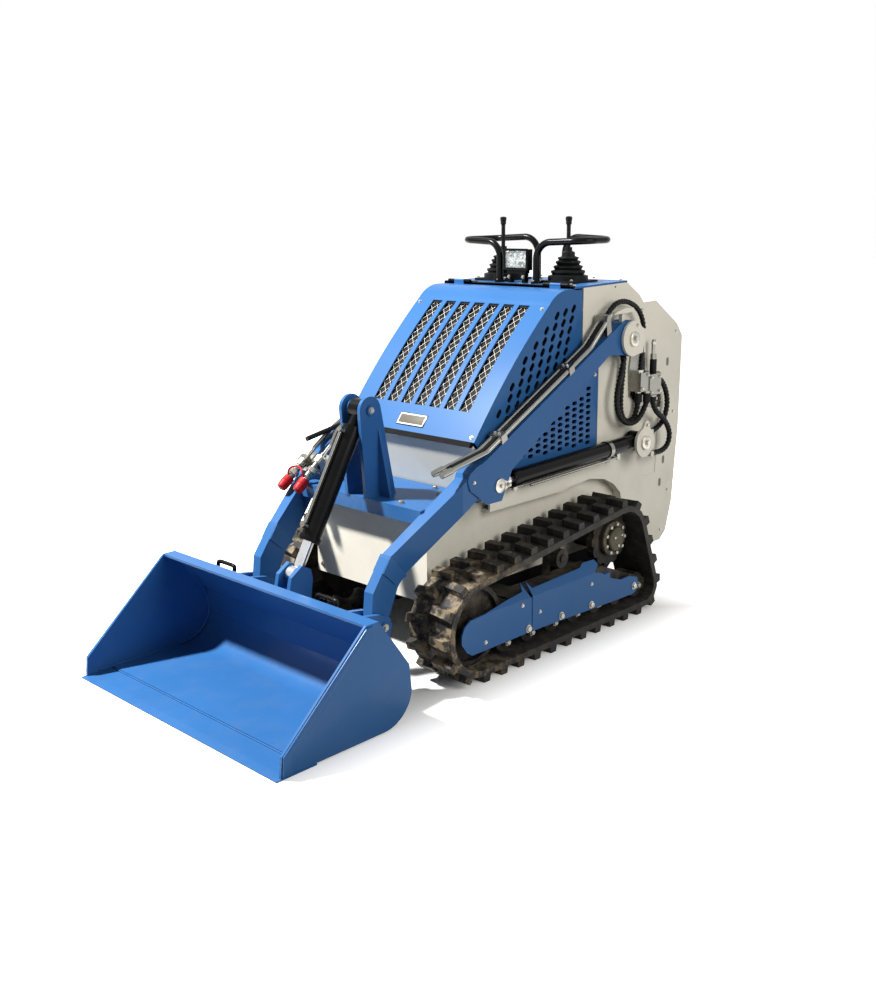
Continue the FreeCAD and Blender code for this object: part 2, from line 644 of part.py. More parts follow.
def crossmember():
    """Plate between the arms with a flange under its front edge and gussets to the arms."""
    low = CROSS_TOP - CROSS_T
    ring = [V(x, y, low) for x, y in ((-302, -724), (302, -724), (ARM_IN + 6, -610),
                                      (ARM_IN + 6, -440), (-ARM_IN - 6, -440),
                                      (-ARM_IN - 6, -610))]
    plate = Part.Face(Part.makePolygon(ring + [ring[0]])).extrude(V(0, 0, CROSS_T))
    flange = box(-306, 306, -724, -714, 516, low)
    pieces = [plate, flange]
    for side in (-1, 1):
        ring = [V(side * 306, -714, low), V(side * 252, -714, low), V(side * 285, -714, 470),
                V(side * 306, -714, 460)]
        pieces.append(Part.Face(Part.makePolygon(ring + [ring[0]])).extrude(V(0, 8, 0)))
    shape = fuse(pieces)
    holes = [Part.makeCylinder(7, 2 * CROSS_T, V(x, y, low - 2))
             for x, y in ((190, -520), (235, -560), (-190, -520), (-235, -560), (180, -690),
                          (-180, -690))]
    return shape.cut(holes + [arm(), mirror(arm())])


def tilt_bracket():
    """Two tall ears on the crossmember with a rib outside each, and the tilt pin."""
    foot = [(-728, CROSS_TOP), (-594, CROSS_TOP), (-655, 870), (-700, 857), (-746, 857)]
    out = []
    for side in (-1, 1):
        a, b = sorted((side * EAR_IN, side * EAR_OUT))
        ear = fuse([prism(foot, a, b), rod_x(a, b, TILT_TOP, 46)])
        boss = sorted((side * 23, side * EAR_IN))
        rib = Part.Face(Part.makePolygon([V(side * EAR_OUT, -668, 795),
                                          V(side * EAR_OUT, -668, CROSS_TOP),
                                          V(side * (EAR_OUT + 52), -668, CROSS_TOP),
                                          V(side * EAR_OUT, -668, 795)]))
        out += [ear, rod_x(boss[0], boss[1], TILT_TOP, 30), rib.extrude(V(0, 10, 0))]
    pin = rod_x(-EAR_OUT - 6, EAR_OUT + 6, TILT_TOP, PIN_R)
    return fuse(out + [pin])


def lift_barrel():
    a, b = at(CYL_X, CYL_PIN), at(CYL_X, ROD_PIN)
    body = fuse([between(a, b, 28, 34, 735), rod_x(CYL_X - 25, CYL_X + 25, CYL_PIN, 38)])
    body = body.cut(rod_x(CYL_X - 26, CYL_X + 26, CYL_PIN, PIN_R + RUN))
    return body.cut(between(a, b, 18 + RUN, 60, 740))


def lift_rod():
    a, b = at(CYL_X, ROD_PIN), at(CYL_X, CYL_PIN)
    length = (b - a).Length
    return fuse([between(a, b, 18, 20, length - 80), rod_x(CYL_X - 17, CYL_X + 17, ROD_PIN, 34)])


def tilt_barrel():
    a, b = at(0, TILT_TOP), at(0, TILT_EYE)
    body = fuse([between(a, b, 34, 66, 470), between(a, b, 20, 20, 66),
                 rod_x(-22, 22, TILT_TOP, 34), between(a, b, 38, 452, 470)])
    body = body.cut(rod_x(-23, 23, TILT_TOP, PIN_R + RUN))
    return body.cut(between(a, b, 18 + RUN, 85, 475))


def tilt_rod():
    a, b = at(0, TILT_EYE), at(0, TILT_TOP)
    length = (b - a).Length
    return fuse([between(a, b, 18, 20, length - 145), rod_x(-17, 17, TILT_EYE, 32)])


# ---- bucket -------------------------------------------------------------------------
SHEET = 6.0
LIP_Z = 350.0
BACK_BEND = (-995.0, 188.0)


def bucket_shell():
    """Floor, round heel, back and its upper part, bent from one sheet."""
    h = BUCKET_HALF - 8
    def side(d):
        floor_y = -1100.0
        heel = (floor_y, 120.0)
        r = 115.0 - d
        a1 = math.radians(-8)
        mid = math.radians(-49)
        e = (heel[0] + r * math.cos(a1), heel[1] + r * math.sin(a1))
        return [V(0, -1390, 5 + d), V(0, floor_y, 5 + d),
                V(0, heel[0] + r * math.cos(mid), heel[1] + r * math.sin(mid)),
                V(0, e[0], e[1]), V(0, BACK_BEND[0] - d, BACK_BEND[1]),
                V(0, -1120 - d * 0.85, LIP_Z - d * 0.5)]
    def edges(p):
        lines = [Part.LineSegment(p[0], p[1]).toShape(), Part.Arc(p[1], p[2], p[3]).toShape(),
                 Part.LineSegment(p[3], p[4]).toShape(), Part.LineSegment(p[4], p[5]).toShape()]
        return lines
    outer, inner = side(0), side(SHEET)
    ring = edges(outer) + edges(inner)
    ring += [Part.LineSegment(outer[0], inner[0]).toShape(),
             Part.LineSegment(outer[-1], inner[-1]).toShape()]
    face = Part.Face(Part.Wire(Part.sortEdges(ring)[0]))
    sheet = face.extrude(V(2 * h, 0, 0))
    sheet.translate(V(-h, 0, 0))
    lip = prism([(-1162, LIP_Z - 4), (-1162, LIP_Z + 4), (-1114, LIP_Z + 4),
                 (-1114, LIP_Z - 4)], -h, h)
    return fuse([sheet, lip])


def bucket_cheek():
    """Side plate with the same round heel as the shell."""
    points = [V(0, -1485, 5), V(0, -1100, 5), V(0, -1100 + 115 * math.cos(math.radians(-49)),
              120 + 115 * math.sin(math.radians(-49))),
              V(0, -1100 + 115 * math.cos(math.radians(-8)),
              120 + 115 * math.sin(math.radians(-8))),
              V(0, BACK_BEND[0], BACK_BEND[1]), V(0, -1114, LIP_Z + 4), V(0, -1162, LIP_Z + 4),
              V(0, -1478, 66)]
    edges = [Part.LineSegment(points[0], points[1]).toShape(),
             Part.Arc(points[1], points[2], points[3]).toShape()]
    loop = points[3:] + [points[0]]
    edges += [Part.LineSegment(p, q).toShape() for p, q in zip(loop, loop[1:])]
    return Part.Face(Part.Wire(Part.sortEdges(edges)[0])).extrude(V(8, 0, 0))


def bucket():
    cheeks = []
    for x in (-BUCKET_HALF, BUCKET_HALF - 8):
        cheek = bucket_cheek()
        cheek.translate(V(x, 0, 0))
        cheeks.append(cheek)
    return fuse([bucket_shell()] + cheeks)


def cutting_edge():
    """Floor blade with a bevelled front, welded under the floor's front edge."""
    return prism([(BUCKET_TIP_Y, 0), (-1360, 0), (-1360, 5), (-1470, 5), (BUCKET_TIP_Y, 3)],
                 -BUCKET_HALF - 2, BUCKET_HALF + 2)


def coupler():
    """Plate behind the bucket with the arms' ears and the tilt cylinder's lugs."""
    heel = (-1100 + 115 * math.cos(math.radians(-8)), 120 + 115 * math.sin(math.radians(-8)))
    back = prism([heel, BACK_BEND, (-1094.2, 316.6), (-1083.6, 324.8), (-983.5, 193), (-973, 104)],
                 -335, 335)
    pieces = [back]
    ear = [(-980, 110), (-940, 160), (-890, 200), (-880, 231), (-890, 258), (-930, 276),
           (-1060, 298), (-981, 195)]
    for side in (-1, 1):
        for x0, x1 in ((LEG_OUT + 6, LEG_OUT + 22), (LEG_IN - 22, LEG_IN - 6)):
            a, b = sorted((side * x0, side * x1))
            pieces.append(prism(ear, a, b))
        a, b = sorted((side * (LEG_IN - 24), side * (LEG_OUT + 28)))
        pieces.append(rod_x(a, b, BUCKET_PIN, PIN_R))
    lug = [(-1060, 298), (-1045, 360), (-1000, 390), (-965, 372), (-958, 340), (-981, 190)]
    for a, b in ((-40, -24), (24, 40)):
        pieces.append(prism(lug, a, b))
    return fuse(pieces)


# ---- hydraulic lines ----------------------------------------------------------------
LINE_R = 8.0                    # steel tubes along the arm
LINE_X = (339.0, 375.0)
MID_LINE_X = 357.0              # hose between the two tubes
ARM_HOSE_R = 9.0
HOSE_R = 10.5                   # ribbed hoses beside the body
LINE_RISE = 15.8                # of the lines' middle over the arm's upper edge
LINE_CLAMPS = (-410.0, -54.0)
LINE_ROUTE = [(-486.0, 728.0), (60.0, 1014.5), (178.0, 1121.8)]
THIN_R = 5.0                    # tubes along the cylinders


def route(x, points):
    return [V(x, y, z) for y, z in points]


def arm_hoses():
    """The middle hose of each arm, held between the two tubes."""
    bent = tube(route(MID_LINE_X, [(-640.0, 699.0)] + LINE_ROUTE), ARM_HOSE_R, 60)
    return Part.makeCompound([bent, mirror(bent)])


def arm_clamps():
    """Clamps on the arm's upper edge, and the tall one before the arm's end."""
    top = LINE_RISE + LINE_R + 5
    blocks = []
    for y in LINE_CLAMPS:
        ring = [(y - 13, arm_top(y - 13)), (y + 13, arm_top(y + 13)),
                (y + 7, arm_top(y + 7) + top), (y - 19, arm_top(y - 19) + top)]
        blocks.append(prism(ring, ARM_IN + 3, ARM_OUT + 1))
    blocks.append(prism([(150, arm_top(150)), (176, arm_top(176)), (168, 1110), (166, 1126),
                         (150, 1122), (144, 1108)], ARM_IN + 5, ARM_OUT - 3))
    return [block.cut(arm()) for block in blocks]


def arm_tubes():
    """Two steel tubes on each arm with their clamps; the left pair ends in plugs."""
    middle = tube(route(MID_LINE_X, [(-640.0, 699.0)] + LINE_ROUTE), ARM_HOSE_R, 60)
    left, right = [], []
    for x in LINE_X:
        left.append(tube(route(x, [(-680.0, 690.0)] + LINE_ROUTE), LINE_R, 60))
        left.append(between(V(x, -700, 686.1), V(x, -656, 694.7), 11))
        right.append(tube(route(x, LINE_ROUTE), LINE_R, 60))
    left, right = [fuse(tubes + arm_clamps()).cut(middle) for tubes in (left, right)]
    return Part.makeCompound([left, mirror(right)])


# couplers on the right arm: distance from the middle, top and lower end of each
COUPLER_X = (262.0, 340.0)
COUPLER_TOPS = ((-643.0, 655.0), (-659.0, 635.0))
COUPLER_ENDS = ((-771.0, 545.0), (-780.0, 546.0))


def leg_top(y):
    """Height of the leg's upper face behind its bend."""
    return 640.0 + (y + 610.0) * (440.0 - 640.0) / (-867.0 + 610.0)


def couplers():
    """Quick couplers for a powered tool, on a bracket across the right arm's leg."""
    strip = prism([(-672, leg_top(-672)), (-612, leg_top(-612)), (-612, leg_top(-612) + 8),
                   (-672, leg_top(-672) + 8)], 240, 372)
    ring = [(-672, leg_top(-672) + 8), (-646, leg_top(-646) + 8), (-662, 650), (-684, 634)]
    pieces = [strip] + [prism(ring, x - 20, x + 20) for x in COUPLER_X]
    for x, line, top, end in zip(COUPLER_X, LINE_X, COUPLER_TOPS, COUPLER_ENDS):
        start = at(line, LINE_ROUTE[0])
        along = (start - at(line, LINE_ROUTE[1])).normalize()
        a, b = at(x, top), at(x, end)
        pieces.append(tube([start, start + along * 30, a + V(0, 36, 30), a], LINE_R, 24))
        long = (b - a).Length
        pieces.append(between(a, b, 12, 0, 60))
        pieces.append(between(a, b, 16, 14, 40))
        pieces.append(between(a, b, 14, 60, 120))
        pieces.append(between(a, b, 17, 70, 84))
        pieces.append(between(a, b, 11, 120, long))
    shape = fuse(pieces).cut(arm())
    return mirror(shape).cut(arm_tubes())


def hose_guides():
    """Bent plate over each arm's end that carries the hose, on a post."""
    plate = prism([(197, 1121), (214, 1130), (266, 1141), (320, 1140), (324, 1126), (276, 1123)],
                  MID_LINE_X - 17, MID_LINE_X + 17)
    post = box(MID_LINE_X - 7, MID_LINE_X + 7, 262, 280, 1080, 1125)
    both = fuse([plate, post]).cut(arm())
    return Part.makeCompound([both, mirror(both)])


BLOCK_X = 350.0
OUTER_X, INNER_X = 363.0, 339.0         # the two loops under the arm's end


def boom_hoses():
    """Hoses between the arm and the body, which bend as the arm lifts."""
    over = [(178.3, 1122.0), (207, 1148), (250, 1166), (310, 1162), (372, 1134), (408, 1087),
            (414, 1030), (405, 965), (400, 896)]
    outer = [(283, 949), (262, 888), (242, 827), (249, 765), (288, 719), (352, 702), (409, 726),
             (440, 776)]
    inner = [(318, 949), (312, 890), (304, 830), (303, 775), (312, 735), (341, 709), (379, 709),
             (408, 733), (418, 776)]
    hoses = []
    for name, x, points, r in (("over", MID_LINE_X, over, ARM_HOSE_R),
                               ("outer", OUTER_X, outer, HOSE_R),
                               ("inner", INNER_X, inner, HOSE_R)):
        hoses.append(flexible(name, route(x, points), r))
    left = Part.makeCompound(hoses)
    return Part.makeCompound([left, mirror(left)])


def flexible(name, points, radius):
    """A hose's tube; its length and its smallest arc are printed."""
    shape = tube(points, radius)
    length = shape.Volume / (math.pi * radius ** 2)
    turns = []
    for before, corner, after in zip(points, points[1:], points[2:]):
        a, b = before - corner, after - corner
        turns.append(ARC_SHARE * min(a.Length, b.Length) * math.tan(a.getAngle(b) / 2))
    print(name, "hose: length", round(length), "smallest arc", round(min(turns)))
    return shape


def body_hoses():
    """Hoses that stay on the body, from the blocks to the elbows on the side."""
    rear = [(519, 866), (560, 850), (600, 803), (616, 745), (598, 694), (560, 660), (511, 649)]
    low = [(468, 776), (480, 748), (510, 722), (546, 700), (578, 668), (596, 636), (594, 606),
           (576, 582), (545, 571), (511, 569), (477, 572)]
    hoses = [flexible("rear", route(344, rear), HOSE_R), flexible("low", route(371, low), HOSE_R)]
    left = Part.makeCompound(hoses)
    return Part.makeCompound([left, mirror(left)])


def hose_blocks():
    """Fitting blocks on a bracket beside the body, with sleeves and elbows."""
    plate = prism([(402, 1040), (477, 1044), (486, 900), (548, 844), (606, 763), (592, 731),
                   (534, 745), (450, 752), (384, 800), (376, 900)], PANEL_OUT, PANEL_OUT + 8)
    steel = box(PANEL_OUT + 8, 372, 384, 440, 820, 891)
    cream = box(PANEL_OUT + 8, 376, 440, 515, 800, 880)
    pieces = [plate, steel, cream]
    for x, y, z0, z1 in ((OUTER_X, 440, 776, 820), (INNER_X, 418, 776, 820), (371, 468, 776, 800)):
        pieces.append(Part.makeCylinder(13.5, z1 - z0, V(x, y, z0)))
    pieces.append(Part.makeCylinder(11, 5, V(MID_LINE_X, 400, 891)))
    pieces.append(rod_y(344, 515, 519, 866, 13))
    pieces.append(Part.makeCylinder(12, 72, V(BLOCK_X, 496, 880)))
    pieces.append(Part.makeCylinder(8, 58, V(BLOCK_X, 496, 948)))
    for x, y, z in ((344, 499, 649), (371, 465, 572)):
        pieces.append(rod_x(PANEL_OUT, x + 10, (y, z), 12))
    shape = fuse(pieces)
    out = shape.cut(boom_hoses()).cut(body_hoses())
    return Part.makeCompound([out, mirror(out)])


def rod_y(x, y0, y1, z, radius):
    return Part.makeCylinder(radius, y1 - y0, V(x, y0, z), V(0, 1, 0))


def beside(x, a, b, offset):
    """The line between two (y, z) points, moved square to it by an offset."""
    length = math.hypot(b[0] - a[0], b[1] - a[1])
    dy, dz = (a[1] - b[1]) / length * offset, (b[0] - a[0]) / length * offset
    return V(x, a[0] + dy, a[1] + dz), V(x, b[0] + dy, b[1] + dz)


def lift_tubes():
    """Thin tubes under the lift cylinder, with its ports and a clamp."""
    a, b = at(CYL_X, CYL_PIN), at(CYL_X, ROD_PIN)
    unit = (b - a).normalize()
    pieces = []
    for x, first, last in ((CYL_X - 10, 120, 700), (CYL_X + 10, 120, 640)):
        start, end = beside(x, CYL_PIN, ROD_PIN, 38)
        pieces.append(between(start, end, THIN_R, first, last))
    for along, x, radius in ((701, CYL_X - 10, 11), (129, CYL_X + 10, 9)):
        port = beside(x, CYL_PIN, ROD_PIN, 22)[0] + unit * along
        foot = beside(x, CYL_PIN, ROD_PIN, 46)[0] + unit * along
        pieces.append(between(port, foot, radius))
    pieces.append(between(a, b, 32, 176, 196))
    start, end = beside(CYL_X, CYL_PIN, ROD_PIN, 36)
    pieces.append(between(start, end, 13, 176, 196))
    bore = between(a, b, 29, 34, 730)
    return fuse(pieces).cut(lift_barrel()).cut(bore)


def tilt_tube():
    """Thin tube in front of the tilt cylinder, between its two ports."""
    a, b = beside(0, TILT_TOP, TILT_EYE, -44)
    axis_a, axis_b = at(0, TILT_TOP), at(0, TILT_EYE)
    unit = (axis_b - axis_a).normalize()
    out = (a - axis_a).normalize()
    pieces = [between(a, b, THIN_R, 84, 428)]
    for along in (92, 428):
        start = axis_a + unit * along
        pieces.append(between(start + out * 30, start + out * 52, 10))
    return fuse(pieces).cut(tilt_barrel())


SIDED = {
    "track": track, "track_wheels": None, "sprocket": sprocket, "track_frame": track_frame,
    "track_cover": track_cover, "side_panel": side_panel, "lower_grille": lower_grille,
    "arm_mount": arm_mount, "hood_side": hood_side, "arm": arm, "lift_barrel": lift_barrel,
    "lift_rod": lift_rod, "lift_tubes": lift_tubes,
}
SINGLE = {
    "lower_body": lower_body, "deck": deck, "rear_panel": rear_panel, "thigh_pad": thigh_pad,
    "operator_platform": operator_platform, "engine": engine, "joysticks": joysticks,
    "hand_loops": hand_loops, "work_lamp": work_lamp, "hood": hood,
    "hood_hinges": hood_hinges, "hood_screen": hood_screen,
    "crossmember": crossmember, "tilt_bracket": tilt_bracket, "tilt_barrel": tilt_barrel,
    "tilt_rod": tilt_rod, "bucket": bucket, "cutting_edge": cutting_edge, "coupler": coupler,
    "arm_tubes": arm_tubes, "arm_hoses": arm_hoses, "hose_guides": hose_guides,
    "boom_hoses": boom_hoses, "body_hoses": body_hoses, "hose_blocks": hose_blocks,
    "couplers": couplers, "tilt_tube": tilt_tube,
}


def track_wheels():
    return Part.makeCompound([idlers(), rollers()])


def build():
    os.makedirs("parts", exist_ok=True)
    SIDED["track_wheels"] = track_wheels
    for node, make in SIDED.items():
        shape = make()
        export(node + "_left", shape)
        export(node + "_right", mirror(shape))
    for node, make in SINGLE.items():
        export(node, make())


if __name__ == "__main__":
    build()
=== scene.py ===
import json
import math
import bpy
import bmesh
from mathutils import Matrix, Vector


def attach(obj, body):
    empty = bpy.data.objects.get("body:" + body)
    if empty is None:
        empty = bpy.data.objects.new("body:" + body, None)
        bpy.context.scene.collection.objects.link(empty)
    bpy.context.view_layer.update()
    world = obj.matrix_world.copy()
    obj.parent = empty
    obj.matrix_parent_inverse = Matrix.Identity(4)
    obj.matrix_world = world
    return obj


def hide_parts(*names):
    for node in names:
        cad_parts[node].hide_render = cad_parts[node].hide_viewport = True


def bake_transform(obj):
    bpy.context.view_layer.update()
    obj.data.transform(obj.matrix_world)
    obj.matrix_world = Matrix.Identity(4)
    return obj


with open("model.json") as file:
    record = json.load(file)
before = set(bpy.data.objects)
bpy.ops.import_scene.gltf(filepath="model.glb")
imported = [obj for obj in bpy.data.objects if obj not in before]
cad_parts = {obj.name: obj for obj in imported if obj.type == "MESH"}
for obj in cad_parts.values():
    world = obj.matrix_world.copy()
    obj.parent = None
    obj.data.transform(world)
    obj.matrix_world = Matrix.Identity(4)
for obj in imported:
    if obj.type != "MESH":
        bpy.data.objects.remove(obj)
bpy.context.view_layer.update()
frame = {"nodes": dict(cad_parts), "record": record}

# Compact stand-on track loader: the look of the assembly whose solids are in the frame.
# Places are written in millimetres from the hood's top edge, +X the operator's left,
# -Y the bucket's end, and brought to the frame's metres by place().
ORIGIN_SHIFT = 378.5


def place(x, y, z):
    return Vector((x, y + ORIGIN_SHIFT, z)) / 1000


def mm(value):
    return value / 1000


# ---- camera ----
def make_camera():
    """Camera to the machine's front left, a little above it."""
    yaw, pitch, roll = math.radians(44.304), math.radians(14.056), math.radians(-0.637)
    back = Vector((math.sin(yaw) * math.cos(pitch), -math.cos(yaw) * math.cos(pitch),
                   math.sin(pitch)))
    level = Vector((math.cos(yaw), math.sin(yaw), 0))
    rise = back.cross(level)
    right = level * math.cos(roll) + rise * math.sin(roll)
    up = rise * math.cos(roll) - level * math.sin(roll)
    data = bpy.data.cameras.new("camera")
    data.lens = 40.99
    camera = bpy.data.objects.new("camera", data)
    turn = Matrix((right, up, back)).transposed().to_4x4()
    turn.translation = place(2760.0, -3160.6, 1484.4)
    camera.matrix_world = turn
    bpy.context.scene.collection.objects.link(camera)
    bpy.context.scene.camera = camera


make_camera()


# ---- node graphs as expressions ----
class Term:
    """A node's socket that can be used in arithmetic; each sum or product adds its node."""

    def __init__(self, graph, socket):
        self.graph = graph
        self.socket = socket

    def math(self, operation, *others):
        return self.graph.node("ShaderNodeMath", {"operation": operation},
                               dict(enumerate((self,) + others)))

    def __add__(self, other):
        return self.math("ADD", other)

    __radd__ = __add__

    def __sub__(self, other):
        return self.math("SUBTRACT", other)

    def __rsub__(self, other):
        return (self * -1.0) + other

    def __mul__(self, other):
        return self.math("MULTIPLY", other)

    __rmul__ = __mul__

    def step(self, low, high):
        """0 below low, 1 above high, smooth between."""
        return self.graph.node("ShaderNodeMapRange", {"interpolation_type": "SMOOTHSTEP"},
                               {"Value": self, "From Min": low, "From Max": high})


class Graph:
    """A node tree being written: every node is made here, its settings first, then its inputs."""

    def __init__(self, tree):
        self.tree = tree

    def feed(self, socket, value):
        if isinstance(value, Term):
            self.tree.links.new(value.socket, socket)
        else:
            socket.default_value = value

    def node(self, kind, settings=None, inputs=None, out=0):
        node = self.tree.nodes.new(kind)
        for key, value in (settings or {}).items():
            setattr(node, key, value)
        for key, value in (inputs or {}).items():
            self.feed(node.inputs[key], value)
        return Term(self, node.outputs[out])

    def outs(self, kind, names, inputs=None):
        """Several outputs of one new node, by name."""
        outputs = self.node(kind, inputs=inputs).socket.node.outputs
        return [Term(self, outputs[name]) for name in names]


class Finish(Graph):
    """A surface finish on a Principled shader, patterned on Object coordinates."""

    def __init__(self, name, **shader):
        self.material = bpy.data.materials.new(name)
        self.material.use_nodes = True
        super().__init__(self.material.node_tree)
        self.shader = self.tree.nodes["Principled BSDF"]
        self.spot = self.node("ShaderNodeTexCoord", out="Object")
        self.set(**shader)

    def set(self, **shader):
        for key, value in shader.items():
            self.feed(self.shader.inputs[key.replace("_", " ")], value)

    def axes(self):
        return self.outs("ShaderNodeSeparateXYZ", "XYZ", {"Vector": self.spot})

    def stretched(self, x, y, z):
        return self.node("ShaderNodeMapping", inputs={"Vector": self.spot, "Scale": (x, y, z)})

    def noise(self, scale, detail=3.0, rough=0.55, where=None):
        return self.node("ShaderNodeTexNoise", inputs={
            "Vector": where or self.spot, "Scale": scale, "Detail": detail, "Roughness": rough})

    def cells(self, scale, feature="F1", out="Distance"):
        return self.node("ShaderNodeTexVoronoi", {"feature": feature},
                         {"Vector": self.spot, "Scale": scale}, out)

    def mix(self, factor, first, second):
        return self.node("ShaderNodeMix", {"data_type": "RGBA"},
                         {0: factor, 6: first, 7: second}, 2)

    def bump(self, height, strength, distance):
        self.set(Normal=self.node("ShaderNodeBump", inputs={
            "Height": height, "Strength": strength, "Distance": distance}))


def rgb(code):
    """A display colour written as six hex digits, as the shader's linear values."""
    parts = [int(code[i:i + 2], 16) / 255 for i in (0, 2, 4)]
    return tuple(p / 12.92 if p <= 0.04045 else ((p + 0.055) / 1.055) ** 2.4
                 for p in parts) + (1.0,)


BLACK, WHITE = (0.0, 0.0, 0.0, 1.0), (1.0, 1.0, 1.0, 1.0)
DUST = rgb("8F8373")
MUD = rgb("8F7F66")
BARE = rgb("4A4642")
GRIME = rgb("5E5850")
DUST_LOW, DUST_HIGH = 0.1, 1.0


def dirt_mask(finish, amount):
    """More dust near the ground and in drifting patches."""
    low = 1.0 - finish.axes()[2].step(DUST_LOW, DUST_HIGH)
    patches = finish.noise(9.0, 5.0, 0.65).step(0.38, 0.72)
    specks = finish.noise(160.0, 2.0).step(0.45, 0.75)
    return (low + patches * 0.3) * amount * (patches * 0.7 + specks * 0.3)


def painted(name, code, roughness, dirt, coat):
    """Sprayed paint: faint orange peel, hazy gloss, dust that thickens downwards, chips."""
    finish = Finish(name, Coat_Roughness=0.12, Metallic=0.0, Specular_IOR_Level=0.1 + 0.4 * coat)
    base = rgb(code)
    darker = tuple(part * 0.93 for part in base[:3]) + (1.0,)
    dust = dirt_mask(finish, dirt)
    colour = finish.mix(finish.noise(3.0).step(0.3, 0.7), darker, base)
    colour = finish.mix(dust, colour, DUST)
    streak = finish.noise(26.0, 4.0, 0.7, finish.stretched(1.0, 1.0, 0.12)).step(0.56, 0.80)
    colour = finish.mix(streak * (0.16 * dirt), colour, GRIME)
    chips = finish.noise(75.0, 6.0, 0.75).step(0.735, 0.76)
    finish.set(Base_Color=finish.mix(chips * 0.8, colour, BARE),
               Roughness=dust * 0.45 + chips * 0.3 + roughness, Coat_Weight=(1.0 - dust) * coat)
    finish.bump(finish.noise(420.0, 1.0) * 0.15 - chips * 0.5, 0.12, 0.0006)
    return finish.material


def bright_metal(name, code, roughness):
    """Plated or polished metal with fine grain under a thin film of dirt."""
    finish = Finish(name, Metallic=1.0)
    grain = finish.noise(60.0, 3.0, 0.6)
    film = finish.noise(14.0, 4.0, 0.6).step(0.45, 0.75)
    finish.set(Base_Color=finish.mix(film * 0.35, rgb(code), rgb("6E6A62")),
               Roughness=grain * 0.08 + film * 0.18 + roughness)
    finish.bump(grain, 0.05, 0.0004)
    return finish.material


def track_rubber(name):
    """Worn dark rubber, dusty all over, with dried mud where the tracks meet the ground first."""
    finish = Finish(name, Metallic=0.0)
    dusty = finish.noise(22.0, 6.0, 0.7).step(0.42, 0.70)
    front = 1.0 - finish.axes()[1].step(-0.42, 0.05)
    mud = finish.noise(24.0, 6.0, 0.65).step(0.44, 0.60) * (front * 0.85 + 0.08)
    colour = finish.mix(dusty * 0.4, rgb("161618"), rgb("403C37"))
    finish.set(Base_Color=finish.mix(mud * 0.8, colour, MUD), Roughness=dusty * 0.2 + 0.60,
               Specular_IOR_Level=0.25)
    finish.bump(finish.noise(180.0) * 0.3 + mud * 0.8, 0.5, 0.0015)
    return finish.material


def plain_rubber(name, code, roughness):
    """Moulded rubber or plastic, or a flat lacquer: fine grain and a breath of dust."""
    finish = Finish(name, Metallic=0.0)
    dusty = finish.noise(30.0, 5.0, 0.65).step(0.45, 0.75)
    finish.set(Base_Color=finish.mix(dusty * 0.05, rgb(code), rgb("6A655D")),
               Roughness=dusty * 0.15 + roughness, Specular_IOR_Level=0.1)
    finish.bump(finish.noise(260.0, 2.0), 0.15, 0.0006)
    return finish.material


def foam(name, code):
    """Closed foam: fine pores, dusty in patches."""
    finish = Finish(name, Metallic=0.0, Roughness=0.92)
    pores = finish.cells(700.0)
    dusty = finish.noise(18.0, 4.0).step(0.5, 0.8)
    finish.set(Base_Color=finish.mix(dusty * 0.3, rgb(code), rgb("5C5852")))
    finish.bump(pores, 0.4, 0.0008)
    return finish.material


def clear_lens(name):
    """Clear moulded cover with a little dust."""
    finish = Finish(name, Metallic=0.0, Transmission_Weight=0.92, IOR=1.45)
    dusty = finish.noise(40.0, 4.0, 0.6).step(0.5, 0.8)
    finish.set(Base_Color=finish.mix(dusty * 0.3, rgb("F7FAFA"), rgb("B9B5AC")),
               Roughness=dusty * 0.25 + 0.03)
    return finish.material


def lamp_glass(name):
    """Crumpled reflector seen through a clear lens; each facet's colour is set at random between
    dark and bright grey, painted reflections on one metal.
    """
    finish = Finish(name, Metallic=0.9)
    random_facet_glints = finish.cells(95.0, "F1", "Color")
    grey = finish.node("ShaderNodeRGBToBW", inputs={"Color": random_facet_glints})
    # Painted reflections: each facet's grey is dark or bright at random.
    finish.set(Base_Color=finish.mix(grey.step(0.2, 0.8), rgb("3E4548"), rgb("CDD1D1")),
               Roughness=grey * 0.15 + 0.08)
    finish.bump(finish.cells(95.0, "DISTANCE_TO_EDGE"), 0.8, 0.004)
    return finish.material


FINISHES = {
    "blue_paint": painted("sprayed mid blue", "2D6099", 0.34, 0.05, 0.05),
    "white_paint": painted("cream white body paint", "E8E4D6", 0.42, 0.14, 0.2),
    "black_paint": painted("gloss black paint", "08090A", 0.24, 0.03, 0.0),
    "black_steel": painted("dusty black steel", "141517", 0.50, 0.35, 0.0),
    "chrome": bright_metal("hard chrome rod", "D9DBDD", 0.10),
    "rubber": track_rubber("track rubber"),
    "black_rubber": plain_rubber("moulded black rubber", "121314", 0.42),
    "black_foam": foam("black foam", "1D1D1F"),
    "zinc": bright_metal("zinc plated fittings", "86857F", 0.18),
    "lamp_glass": lamp_glass("lamp reflector"),
}
EXTRA = {
    "zinc": bright_metal("zinc plated steel", "B0ADA5", 0.26),
    "olive": painted("olive hub paint", "4B4A38", 0.45, 0.4, 0.1),
    "red": plain_rubber("red plastic", "B3262B", 0.35),
    "dull_zinc": bright_metal("dull zinc", "9A978F", 0.42),
    # Flat black: painted shade on the screen's plate and the belly skirts, and the black of the
    # screen's rim and the strip at the hood's foot.
    "wire": painted("flat black steel", "060607", 0.6, 0.05, 0.0),
    "light_wire": plain_rubber("light screen wire", "E4E2DC", 0.5),
    # Grey for the wing slots' plugs: painted shade of the slots' insides.
    "plug": plain_rubber("grey moulded plug", "858279", 0.6),
    "plate": plain_rubber("blank grey plate", "5C584F", 0.45),
    "lens": clear_lens("clear lamp lens"),
    "guard": plain_rubber("spiral hose guard", "0C0D0E", 0.33),
}
ZINC, DULL_ZINC = EXTRA["zinc"], EXTRA["dull_zinc"]
BLUE, BLACK_GLOSS = FINISHES["blue_paint"], FINISHES["black_paint"]


